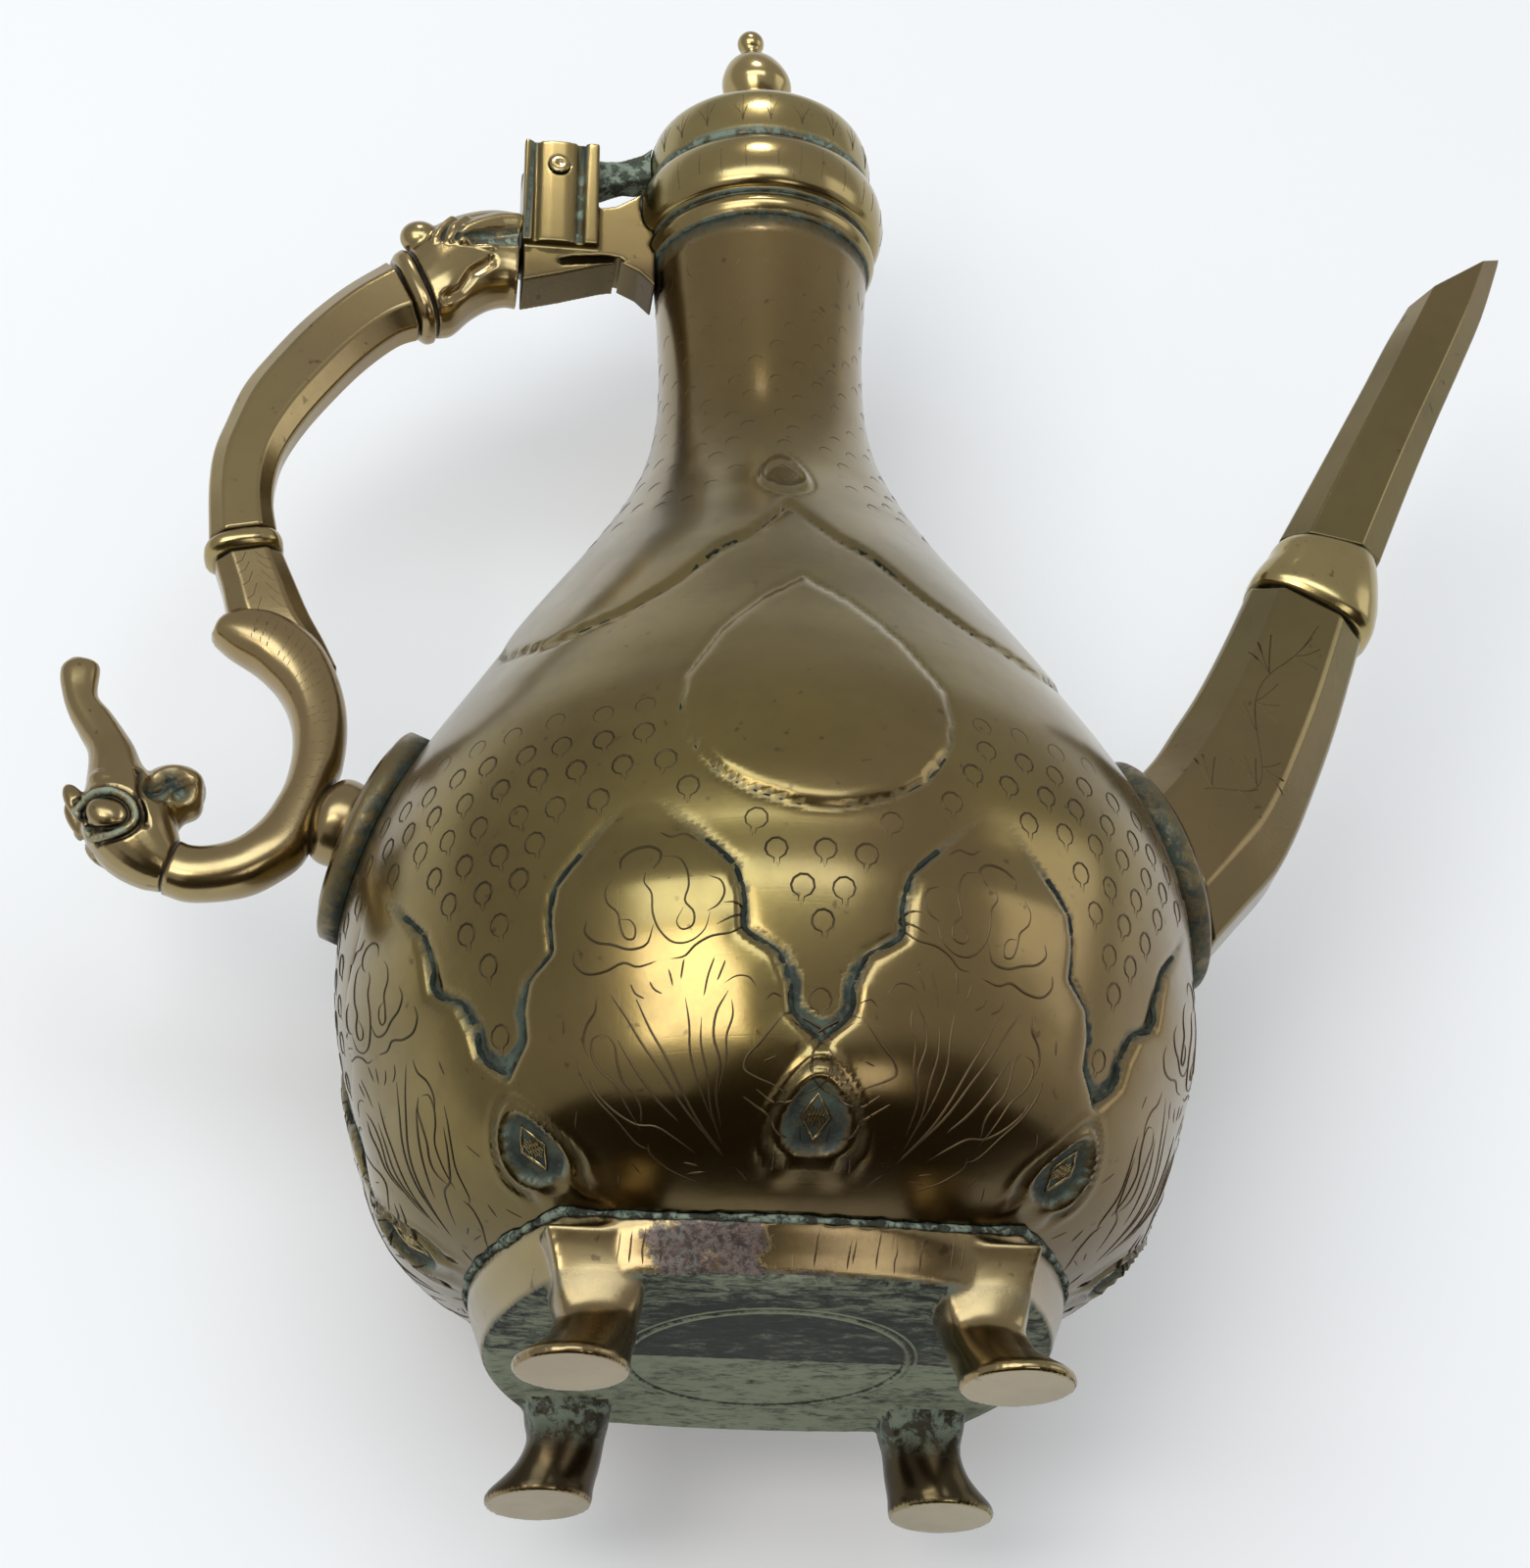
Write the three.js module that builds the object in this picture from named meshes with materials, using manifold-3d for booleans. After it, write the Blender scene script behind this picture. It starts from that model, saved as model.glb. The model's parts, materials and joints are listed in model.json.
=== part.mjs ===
// A cast and engraved brass ewer: a pear-shaped vessel on a four-footed square stand, with a faceted
// spout, a hinged domed lid and a dragon-headed handle.
// Millimetres, +Z up. The origin is the middle of the base disc's underside, on the vessel's axis.
// The spout points along +X and the handle along -X. Heights are above the stand's underside.
import * as THREE from 'three';
import { mergeVertices } from 'three/addons/utils/BufferGeometryUtils.js';
import Module from 'manifold-3d';

const wasm = await Module();
wasm.setup();

// Common sizes
const seam = 0.3; // gap at a soldered, riveted or running joint
const wall = 2.2; // thickness of the cast walls
const roundSteps = 40; // facets round the vessel
const mouthSteps = 30; // facets round the mouth, the lid and the pads
const smallSteps = 20; // facets round the hinge pin and other small round pieces
const outlineSteps = 36; // stretches of the vessel's outline

// Vessel
const bellyRadius = 75.2;
const bellyHeight = 68;
const neckRadius = 19.7;
const neckHeight = 198.5;
const mouthRadius = 21.1;
const mouthHeight = 222.5;
const floorHeight = 4.9;
const coreHoleRadius = 20.4;

// Shares of the way from the core hole out to the belly, and of the way up from the floor to it
const underBelly = [
  [0, 0], [0.412, 0.054], [0.584, 0.127], [0.703, 0.216], [0.797, 0.311], [0.883, 0.501], [0.976, 0.786],
  [1, 1],
];
// Shares of the way in from the belly to the neck, and of the way up to it
const shoulder = [
  [0.013, 0.08], [0.074, 0.172], [0.186, 0.264], [0.317, 0.356], [0.449, 0.448], [0.587, 0.54],
  [0.728, 0.632], [0.852, 0.724], [0.946, 0.816], [0.991, 0.908], [1, 1],
];
const flareShare = 0.36; // of the mouth's flare, reached half way up from the neck

// Raised arches round the belly, parted by pointed pendants
const archCount = 8;
const archRise = 1.9;
const archFoot = 14; // height where an arch starts to rise
const archShoulder = 24; // height where it has its full rise
const archFade = 42; // height where it starts to sink back into the belly
const archTop = 67;
// Half the width of a pendant in degrees, by height
const pendantHalf = [[28.8, 0], [37.5, 4.3], [46, 9.8], [56, 11.4], [63, 16.6], [archTop, 20]];
// Columns of points round the vessel, as shares of the step from one pendant to the next
const archColumns = [0, 0.11, 0.24, 0.36, 0.5, 0.64, 0.76, 0.89];

// Base disc and stand
const discRadius = 25.5;
const discThickness = 2.4;
const legHeight = 15.5;
const standHalfDepth = 38.5; // from the axis to the front of the underside
const standTopHalfDepth = 43.6; // the same where the skirt meets the body
const standHalfWidth = 47.3; // from the axis to the side of the underside
const standTopHalfWidth = 50.2; // the same where the skirt meets the body
const standCornerX = 37.2; // the skirt's upright corners
const standCornerY = 34.5;
const standFlareHeight = 8.5;
const standWall = 2.6;
const soleReach = standTopHalfWidth - 0.3; // from the axis to the middle of a sole, along the diagonal
const soleHalfLength = 9.4;
const soleHalfWidth = 9;
const soleThickness = 1.8;
const ankleHalfWidth = 7.1;

// Mouth
const neckRingHeight = 4.9;
const neckRingRadius = 22.6;
const collarHeight = 13.7;
const collarRadius = 24.5;

// Lid
const lidRadius = 22.1;
const domeHeight = 21;
const lidWall = 2;
const flangeDepth = 2.7;
const flangeClearance = 0.5;
const finialRadius = 7;
const onionHeight = 15.8;
const ballRadius = 2.7;
const finialNeck = 1.7;
const tenonRadius = 2.2;

// Hinge
const pinReach = 40.4; // from the vessel's axis to the pin
const pinRadius = 1.7;
const pinHeadRadius = 2.1;
const pinHeadThickness = 0.5;
const knuckleRadius = 5.5;
const tongueHalfWidth = 3.6;
const earHalfSpan = 7; // over the outer faces of the two ears
const earGroove = 0.9;
const earInner = 7.9; // from the pin towards the mouth
const earOuter = 6.9; // from the pin towards the handle
const earTop = 6; // above the pin
const earBottom = 18.4; // below the pin
const stopHeight = 0.4; // of the back wall's edge above the pin, which stops the open lid
const strapHalfWidth = 5.2;

// Handle
const padHeight = 94;
const handlePadRadius = 20;
const handlePadThickness = 3;
const bossRadius = 8;
const bossLength = 6.9;
const barHalfWidth = 5.6;
const scrollHalfWidth = 5.8;

// Spout
const spoutPadRadius = 22;
const spoutPadThickness = 3.7;
const spoutHoleRadius = 7;
const spoutWall = 2.2;

// Mesh tools

function closed(geometry) {
  // Merge the vertices, drop triangles without area and turn the faces outwards.
  const bare = geometry.clone();
  bare.deleteAttribute('normal');
  bare.deleteAttribute('uv');
  const merged = mergeVertices(bare, 1e-4);
  const position = merged.getAttribute('position');
  const corners = Array.from(merged.index.array);
  const kept = [];
  let volume = 0;
  const [a, b, c] = [new THREE.Vector3(), new THREE.Vector3(), new THREE.Vector3()];
  for (let i = 0; i < corners.length; i += 3) {
    const [p, q, r] = corners.slice(i, i + 3);
    if (p === q || q === r || r === p) continue;
    kept.push(p, q, r);
    a.fromBufferAttribute(position, p);
    b.fromBufferAttribute(position, q);
    c.fromBufferAttribute(position, r);
    volume += a.dot(b.cross(c));
  }
  if (volume < 0) kept.reverse();
  merged.setIndex(kept);
  return merged;
}

function solid(geometry) {
  const mesh = closed(geometry);
  return new wasm.Manifold(new wasm.Mesh({
    numProp: 3,
    vertProperties: new Float32Array(mesh.getAttribute('position').array),
    triVerts: new Uint32Array(mesh.index.array),
  }));
}

function geometryOf(body) {
  const mesh = body.getMesh();
  const geometry = new THREE.BufferGeometry();
  geometry.setAttribute('position', new THREE.BufferAttribute(mesh.vertProperties, 3));
  geometry.setIndex(new THREE.BufferAttribute(mesh.triVerts, 1));
  return geometry;
}

function turned(profile, steps = roundSteps) {
  // A shape turned about Z, from [radius, height] points.
  const points = profile.map(([radius, height]) => new THREE.Vector2(radius, height));
  return new THREE.LatheGeometry(points, steps).rotateX(Math.PI / 2);
}

function lofted(rings, looped = false) {
  // A skin over rings with the same number of points. Looped joins the last ring to the first.
  const count = rings[0].length;
  const points = rings.flat();
  const triangles = [];
  const spans = looped ? rings.length : rings.length - 1;
  for (let i = 0; i < spans; i++) {
    const here = i * count;
    const next = ((i + 1) % rings.length) * count;
    for (let j = 0; j < count; j++) {
      const k = (j + 1) % count;
      triangles.push(here + j, here + k, next + k, here + j, next + k, next + j);
    }
  }
  if (!looped) {
    const last = (rings.length - 1) * count;
    points.push(middle(rings[0]), middle(rings.at(-1)));
    for (let j = 0; j < count; j++) {
      const k = (j + 1) % count;
      triangles.push(points.length - 2, k, j, points.length - 1, last + j, last + k);
    }
  }
  const geometry = new THREE.BufferGeometry().setFromPoints(points);
  geometry.setIndex(triangles);
  return geometry;
}

function middle(ring) {
  const sum = new THREE.Vector3();
  ring.forEach((point) => sum.add(point));
  return sum.divideScalar(ring.length);
}

function splined(points, count) {
  // Evenly spread samples of a smooth line through [x, z] or longer points.
  const curves = [];
  for (let i = 0; i + 1 < points[0].length; i += 2) {
    curves.push(points.map((point) => new THREE.Vector3(point[i], point[i + 1], 0)));
  }
  const lines = curves.map((line) => new THREE.CatmullRomCurve3(line, false, 'centripetal'));
  return Array.from({ length: count + 1 }, (_, i) => lines.flatMap((line) => {
    const point = line.getPoint(i / count);
    return [point.x, point.y];
  }));
}

const octagon = [
  [1, 0.46], [0.52, 1], [-0.52, 1], [-1, 0.46], [-1, -0.46], [-0.52, -1], [0.52, -1], [1, -0.46],
];
const softOctagon = [
  [1, 0], [0.93, 0.55], [0.6, 0.93], [0, 1], [-0.6, 0.93], [-0.93, 0.55],
  [-1, 0], [-0.93, -0.55], [-0.6, -0.93], [0, -1], [0.6, -0.93], [0.93, -0.55],
];

function section(edge, otherEdge, halfWidth, shape, inset = 0) {
  // A ring across the XZ plane, from one edge point to the other, halfWidth to each side in Y.
  const centre = new THREE.Vector3((edge[0] + otherEdge[0]) / 2, 0, (edge[1] + otherEdge[1]) / 2);
  const across = new THREE.Vector3(edge[0] - otherEdge[0], 0, edge[1] - otherEdge[1]).divideScalar(2);
  across.setLength(across.length() - inset);
  return shape.map(([along, side]) => centre.clone()
    .addScaledVector(across, along)
    .add(new THREE.Vector3(0, side * (halfWidth - inset), 0)));
}

function railed(stations, steps, shape, inset = 0) {
  // Rings along stations of [edge x, edge z, other edge x, other edge z, half width]. A zero is added
  // to each, because splined takes its numbers in pairs.
  return splined(stations.map((station) => [...station, 0]), steps)
    .map(([x, z, otherX, otherZ, halfWidth]) => section([x, z], [otherX, otherZ], halfWidth, shape, inset));
}

function bar(stations, steps, shape, growth = 0) {
  return lofted(railed(stations, steps, shape, -growth));
}

function tube(stations, steps, shape, thickness) {
  const outside = railed(stations, steps, shape);
  const inside = railed(stations, steps, shape, thickness).reverse();
  return lofted([...outside, ...inside], true);
}

function from(anchor, outward, stations) {
  // Stations given as [outward, up] pairs from an anchor, as places in the model.
  return stations.map(([x, z, otherX, otherZ, halfWidth]) => [
    anchor.x + outward * x, anchor.z + z, anchor.x + outward * otherX, anchor.z + otherZ, halfWidth,
  ]);
}

function blob(centre, radii, tilt = 0) {
  return solid(new THREE.SphereGeometry(1, 12, 8).scale(...radii).rotateY(tilt).translate(...centre));
}

function box(low, high) {
  const size = high.map((value, i) => value - low[i]);
  const centre = high.map((value, i) => (value + low[i]) / 2);
  return solid(new THREE.BoxGeometry(...size).translate(...centre));
}

function sideCut(outline, halfWidth, holes = []) {
  // An outline of [x, z] points, extruded to each side of the XZ plane.
  const shape = new THREE.Shape(outline.map(([x, z]) => new THREE.Vector2(x, z)));
  shape.holes = holes.map((hole) => new THREE.Path(hole.map(([x, z]) => new THREE.Vector2(x, z))));
  const geometry = new THREE.ExtrudeGeometry(shape, { depth: 2 * halfWidth, bevelEnabled: false });
  return solid(geometry.translate(0, 0, -halfWidth).rotateX(Math.PI / 2));
}

// Vessel

function bodyOutline(growth = 0, steps = outlineSteps) {
  // The body's outside, from the core hole up to the mouth, moved out by growth.
  const under = underBelly.map(([out, up]) => [
    coreHoleRadius + out * (bellyRadius - coreHoleRadius),
    floorHeight + up * (bellyHeight - floorHeight),
  ]);
  const over = shoulder.map(([inward, up]) => [
    bellyRadius - inward * (bellyRadius - neckRadius),
    bellyHeight + up * (neckHeight - bellyHeight),
  ]);
  const flare = [
    [neckRadius + flareShare * (mouthRadius - neckRadius), (neckHeight + mouthHeight) / 2],
    [mouthRadius, mouthHeight],
  ];
  const line = new THREE.SplineCurve(
    [...under, ...over, ...flare].map(([radius, height]) => new THREE.Vector2(radius, height)),
  );
  return Array.from({ length: steps + 1 }, (_, i) => {
    const point = line.getPoint(i / steps);
    const tangent = line.getTangent(i / steps);
    return [point.x + growth * tangent.y, point.y - growth * tangent.x];
  });
}

const outline = bodyOutline();

function bodyRadiusAt(height) {
  const above = outline.findIndex(([, z]) => z >= height);
  const [radius, low] = outline[above - 1];
  const [nextRadius, high] = outline[above];
  return THREE.MathUtils.mapLinear(height, low, high, radius, nextRadius);
}

function bodyTilt(height, reach) {
  // How far the body's outward direction leans up, over a stretch of its side.
  return Math.atan2(bodyRadiusAt(height - reach) - bodyRadiusAt(height + reach), 2 * reach);
}

// Everything that the body fills or encloses, with room for a seam round it
const bodyRoom = solid(turned([
  [0, floorHeight - seam], ...bodyOutline(seam), [0, mouthHeight + seam],
]));

function seat(height, reach, thickness, outward) {
  // The middle of a pad's face on the body's side, and the turn from +Z to its direction.
  const tilt = bodyTilt(height, reach);
  return {
    x: outward * (bodyRadiusAt(height) + thickness * Math.cos(tilt)),
    z: height + thickness * Math.sin(tilt),
    turn: outward * (Math.PI / 2 - tilt),
  };
}

const spoutSeat = seat(padHeight, spoutPadRadius, spoutPadThickness, 1);
const handleSeat = seat(padHeight, handlePadRadius, handlePadThickness, -1);

function seated(geometry, place) {
  return geometry.rotateY(place.turn).translate(place.x, 0, place.z);
}

function archSwell(angle, height) {
  // How far the arches stand out there. The angle is in degrees from the middle of a pendant.
  if (height < archFoot || height > archTop) return 0;
  const above = pendantHalf.findIndex(([level]) => level >= height);
  const low = pendantHalf[Math.max(above - 1, 0)];
  const high = pendantHalf[above];
  const share = above > 0 ? (height - low[0]) / (high[0] - low[0]) : 0;
  const edge = above > 0 ? low[1] + share * (high[1] - low[1]) : -1;
  const { smoothstep } = THREE.MathUtils;
  return angle > edge
    ? archRise * smoothstep(height, archFoot, archShoulder) * (1 - smoothstep(height, archFade, archTop))
    : 0;
}

function archedRing([radius, height], swells = true) {
  const step = 360 / archCount;
  return Array.from({ length: archCount }, (_, i) => archColumns.map((share) => {
    const fromPendant = Math.min(share, 1 - share) * step;
    const reach = radius + (swells ? archSwell(fromPendant, height) : 0);
    const angle = THREE.MathUtils.degToRad((i + share) * step);
    return new THREE.Vector3(reach * Math.cos(angle), reach * Math.sin(angle), height);
  })).flat();
}

function bodyShell() {
  const inside = [
    [coreHoleRadius, floorHeight + wall],
    ...bodyOutline(-wall, outlineSteps / 3).slice(1, -1),
    [boreRadius, mouthHeight],
  ];
  const shell = solid(lofted([
    ...outline.map((point) => archedRing(point)),
    ...inside.reverse().map((point) => archedRing(point, false)),
  ], true));
  const drill = new THREE.CylinderGeometry(spoutHoleRadius, spoutHoleRadius, 4 * spoutPadRadius, smallSteps);
  return shell.subtract(solid(seated(drill.rotateX(Math.PI / 2), spoutSeat)));
}

function baseDisc() {
  const plugRadius = coreHoleRadius - seam;
  return solid(turned([
    [0, 0], [discRadius, 0], [discRadius, discThickness], [plugRadius, discThickness],
    [plugRadius, floorHeight + wall], [0, floorHeight + wall],
  ]));
}

// Stand

function standRing(share, height, growth = 0) {
  // The skirt's plan, four bowed sides between upright corners. Share 0 is its underside, 1 its top.
  const depth = standHalfDepth + share * (standTopHalfDepth - standHalfDepth) + growth;
  const width = standHalfWidth + share * (standTopHalfWidth - standHalfWidth) + growth;
  const [cornerX, cornerY] = [standCornerX + growth, standCornerY + growth];
  const steps = roundSteps / 4;
  const quarter = (turned, bow, corner, across) => Array.from({ length: steps }, (_, i) => {
    const side = (2 * i) / steps - 1;
    return [across * side, bow - (bow - corner) * side ** 2].map((value) => turned * value);
  });
  const front = (turned) => quarter(turned, -depth, -cornerY, cornerX);
  const flank = (turned) => quarter(turned, width, cornerX, cornerY).map(([y, x]) => [x, y]);
  return [...front(1), ...flank(1), ...front(-1), ...flank(-1)]
    .map(([x, y]) => new THREE.Vector3(x, y, height));
}

function standBlock(growth) {
  return solid(lofted([
    standRing(0, -growth, growth),
    standRing(0.2, 0.4 * standFlareHeight, growth),
    standRing(0.7, 0.8 * standFlareHeight, growth),
    standRing(1, 1.15 * standFlareHeight, growth),
    standRing(1, bellyHeight / 4, growth),
  ]));
}

function standFrame() {
  const hollow = solid(lofted([
    standRing(0, discThickness, -standWall),
    standRing(1, 1.15 * standFlareHeight, -standWall),
    standRing(1, bellyHeight / 4 + 1, -standWall),
  ]));
  const holeRadius = discRadius + seam;
  const discHole = new THREE.CylinderGeometry(holeRadius, holeRadius, 3 * discThickness, roundSteps);
  return standBlock(0)
    .subtract(hollow)
    .subtract(solid(discHole.rotateX(Math.PI / 2)))
    .subtract(bodyRoom);
}

function foot(sideX, sideY) {
  // Sections up the leg: height, distance of the middle from the axis, half length, half width, and
  // roundness, which is 2 for an ellipse and 1 for a square that points at the stand's corner.
  const shank = ankleHalfWidth / 0.75;
  const levels = [
    [-legHeight, soleReach, soleHalfLength, soleHalfWidth, 2],
    [-legHeight + soleThickness, soleReach - 0.2, soleHalfLength, soleHalfWidth, 2],
    [-0.62 * legHeight, soleReach - 3, 0.86 * soleHalfLength, 0.88 * soleHalfWidth, 1.8],
    [-0.36 * legHeight, soleReach - 6, ankleHalfWidth, ankleHalfWidth, 1.6],
    [-0.12 * legHeight, soleReach - 8, 0.9 * shank, 0.9 * shank, 1.3],
    [-seam, soleReach - 9, shank, shank, 1.15],
  ];
  const angle = Math.atan2(sideY, sideX);
  const squared = (value, roundness) => Math.sign(value) * Math.abs(value) ** (2 / roundness);
  const rings = levels.map(([height, reach, length, width, roundness]) => Array.from({ length: 16 }, (_, i) => {
    const turn = (2 * Math.PI * i) / 16;
    const out = reach + length * squared(Math.cos(turn), roundness);
    const point = new THREE.Vector3(out, width * squared(Math.sin(turn), roundness), height);
    return point.applyAxisAngle(new THREE.Vector3(0, 0, 1), angle);
  }));
  return solid(lofted(rings));
}

// Mouth

const ringBase = mouthHeight + seam;
const collarBase = ringBase + neckRingHeight + seam;
const collarTop = collarBase + collarHeight;
const boreRadius = mouthRadius - wall;

function neckRing(growth = 0) {
  const bore = growth ? 0 : boreRadius;
  const edge = mouthRadius + growth;
  const top = ringBase + neckRingHeight;
  return solid(turned([
    [bore, ringBase - growth], [edge, ringBase - growth],
    [neckRingRadius - 0.4 + growth, ringBase + 0.25 * neckRingHeight],
    [neckRingRadius + growth, ringBase + 0.5 * neckRingHeight],
    [neckRingRadius - 0.4 + growth, ringBase + 0.75 * neckRingHeight],
    [edge + 0.3, top + growth], [bore, top + growth], [bore, ringBase - growth],
  ], mouthSteps));
}

function mouthCollar(growth = 0) {
  const bore = growth ? 0 : boreRadius;
  const neckEdge = mouthRadius + 0.8 + growth;
  const round = [];
  for (let i = 0; i <= 7; i++) {
    const angle = -Math.PI / 2 + (Math.PI * i) / 7;
    round.push([
      neckEdge + (collarRadius + growth - neckEdge) * Math.cos(angle),
      collarBase + collarHeight * (0.48 + 0.44 * Math.sin(angle)),
    ]);
  }
  return solid(turned([
    [bore, collarBase - growth], [neckEdge, collarBase - growth], ...round,
    [neckEdge, collarTop + growth], [bore, collarTop + growth], [bore, collarBase - growth],
  ], mouthSteps));
}

// Lid

const lidBase = collarTop + seam;
const domeTop = lidBase + domeHeight;
// Shares of the radius and of the height, from the lid's edge over its shoulder to the finial
const domeShares = [
  [0.991, 0.086], [1, 0.214], [0.991, 0.357], [0.946, 0.505], [0.842, 0.619], [0.697, 0.743], [0.52, 0.857],
  [0.339, 0.962], [0.226, 1],
];

function domeLine(radius, height) {
  return domeShares.map(([out, up]) => [out * radius, lidBase + up * height]);
}

function lidDome() {
  const flange = boreRadius - flangeClearance;
  const hole = tenonRadius + seam;
  const inner = domeLine(lidRadius - lidWall, domeHeight - lidWall).slice(2);
  return solid(turned([
    [flange, lidBase], [lidRadius - 0.9, lidBase], ...domeLine(lidRadius, domeHeight), [hole, domeTop],
    [hole, domeTop - lidWall], ...inner.reverse(), [flange - lidWall, lidBase + lidWall],
    [flange - lidWall, lidBase - flangeDepth], [flange, lidBase - flangeDepth], [flange, lidBase],
  ], mouthSteps));
}

function lidFinial() {
  const base = domeTop + seam;
  const onionTop = base + onionHeight;
  const ballMiddle = onionTop + ballRadius;
  const ballStart = -0.85; // where the ball leaves its neck
  const ball = [];
  for (let i = 1; i < 6; i++) {
    const angle = ballStart + ((Math.PI / 2 - ballStart) * i) / 6;
    ball.push([ballRadius * Math.cos(angle), ballMiddle + ballRadius * Math.sin(angle)]);
  }
  const tenonBottom = domeTop - lidWall - 1;
  const onion = [
    [0.8, 0], [0.8, 0.05], [0.66, 0.12], [0.84, 0.26], [0.98, 0.38], [1, 0.5], [0.93, 0.62], [0.74, 0.775],
    [0.36, 0.93],
  ];
  return solid(turned([
    [0, tenonBottom], [tenonRadius, tenonBottom], [tenonRadius, base],
    ...onion.map(([out, up]) => [out * finialRadius, base + up * onionHeight]),
    [finialNeck, onionTop - 0.6], ...ball, [0, ballMiddle + ballRadius],
  ], smallSteps));
}

// Hinge

const pin = { x: -pinReach, z: collarTop - 0.1 };

function acrossCylinder(radius, halfLength) {
  const cylinder = new THREE.CylinderGeometry(radius, radius, 2 * halfLength, smallSteps);
  return solid(cylinder.translate(pin.x, 0, pin.z));
}

function hingePin() {
  const head = pinHeadThickness + seam;
  const shank = acrossCylinder(pinRadius, earHalfSpan + seam);
  const rivet = (side) => {
    const disc = new THREE.CylinderGeometry(pinHeadRadius, pinHeadRadius, pinHeadThickness, smallSteps);
    return solid(disc.translate(pin.x, side * (earHalfSpan + head - pinHeadThickness / 2), pin.z));
  };
  return shank.add(rivet(1)).add(rivet(-1));
}

function ears() {
  // Seen from above: ribs and a broad panel on each outer face, with grooves between them.
  const left = pin.x - earOuter;
  const right = pin.x + earInner;
  const width = right - left;
  const face = [[0, 0], [0.13, 0], [0.13, 1], [0.21, 1], [0.21, 0.3], [0.35, 0], [0.55, 0], [0.7, 0.3],
    [0.7, 1], [0.81, 1], [0.81, 0], [1, 0]];
  const half = face.map(([along, depth]) => [left + along * width, earHalfSpan - depth * earGroove]);
  const round = [...half, ...half.map(([x, y]) => [x, -y]).reverse()];
  const shape = new THREE.Shape(round.map(([x, y]) => new THREE.Vector2(x, y)));
  const block = new THREE.ExtrudeGeometry(shape, { depth: earTop + earBottom, bevelEnabled: false });
  return solid(block.translate(0, 0, pin.z - earBottom));
}

function hingeBracket() {
  const left = pin.x - earOuter;
  const right = pin.x + earInner;
  const bottom = pin.z - earBottom;
  const at = (points) => points.map(([x, z]) => [pin.x + x, pin.z + z]);
  const slot = at([[0, -21.4], [3, -20.4], [9, -19.7], [12.4, -20], [13.9, -20.9], [1, -22.6]]);
  const strap = sideCut(at([
    [-earOuter + 0.4, -earBottom + 1], [-earOuter + 0.4, -27], [1.1, -24.7], [9, -22], [12.5, -21.2],
    [16, -23], [20.4, -27.5], [24, -24], [24, 0], [19, -2.2], [15.2, -5], [11.5, -7.6], [earInner - 1, -8.6],
  ]), strapHalfWidth, [slot.reverse()]);
  const pocket = box(
    [left + earOuter - knuckleRadius - seam, -tongueHalfWidth - seam, pin.z - knuckleRadius - seam],
    [right + 3 * earInner, tongueHalfWidth + seam, pin.z + 2 * earTop],
  );
  const backNotch = box(
    [left - 1, -tongueHalfWidth - seam, pin.z + stopHeight],
    [pin.x, tongueHalfWidth + seam, pin.z + 2 * earTop],
  );
  return ears().add(strap)
    .subtract(pocket).subtract(backNotch)
    .subtract(acrossCylinder(pinRadius + seam, 2 * earHalfSpan))
    .subtract(mouthCollar(seam)).subtract(neckRing(seam)).subtract(bodyRoom)
    .subtract(box([-mouthRadius, -mouthRadius, bottom - 20], [mouthRadius, mouthRadius, lidBase]));
}

function lidTongue() {
  const root = -pin.x - lidRadius - 0.2;
  const knuckle = acrossCylinder(knuckleRadius, tongueHalfWidth);
  const arm = sideCut([
    [pin.x, pin.z + knuckleRadius], [pin.x + 8, pin.z + knuckleRadius - 0.1], [pin.x + 12, pin.z + 5.6],
    [pin.x + root - 1.5, pin.z + 7.2], [pin.x + root + 2.5, pin.z + 10.6], [pin.x + root + 2.5, pin.z + 1.6],
    [pin.x + 13, pin.z + 0.6], [pin.x + 7, pin.z - 2.2], [pin.x + 2, pin.z - 4.5], [pin.x, pin.z - 4.5],
  ], tongueHalfWidth);
  const dome = solid(turned([
    [0, lidBase - seam], [lidRadius - 0.9 + seam, lidBase - seam],
    ...domeLine(lidRadius + seam, domeHeight + seam),
    [0, domeTop + seam],
  ], mouthSteps));
  return knuckle.add(arm).subtract(acrossCylinder(pinRadius + seam, 2 * earHalfSpan)).subtract(dome);
}

// Handle, its upper part placed from the pin and its lower part from the handle pad's face

const upper = (stations) => from(pin, -1, stations);
const lower = (stations) => from(handleSeat, -1, stations);

function dragonHead() {
  const head = solid(bar(upper([
    [28.9, -20.3, 21.9, -36.7, 7.3], [25.9, -15.9, 19.2, -35.7, 8.3], [21.6, -12.4, 15.8, -31.8, 8.2],
    [17.4, -10.2, 12.6, -29.4, 7.7], [12.4, -8.9, 9.4, -28.4, 7.2],
    [earOuter + 0.4, -9.1, earOuter + 0.4, -28.8, 6.9],
  ]), 10, softOctagon));
  const curl = (side) => blob([pin.x - 26.6, side * 4.2, pin.z - 18.2], [3.9, 3.2, 3.4]);
  return head.add(curl(1)).add(curl(-1));
}

function dragonCollar() {
  return solid(bar(upper([
    [32.1, -22.7, 25.2, -37.5, 6.3], [31.6, -21.6, 23.9, -38, 7.2], [30.5, -20.6, 22.6, -37.6, 7.3],
    [29.6, -20.5, 22.4, -36.8, 6.6],
  ]), 6, softOctagon));
}

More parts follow.
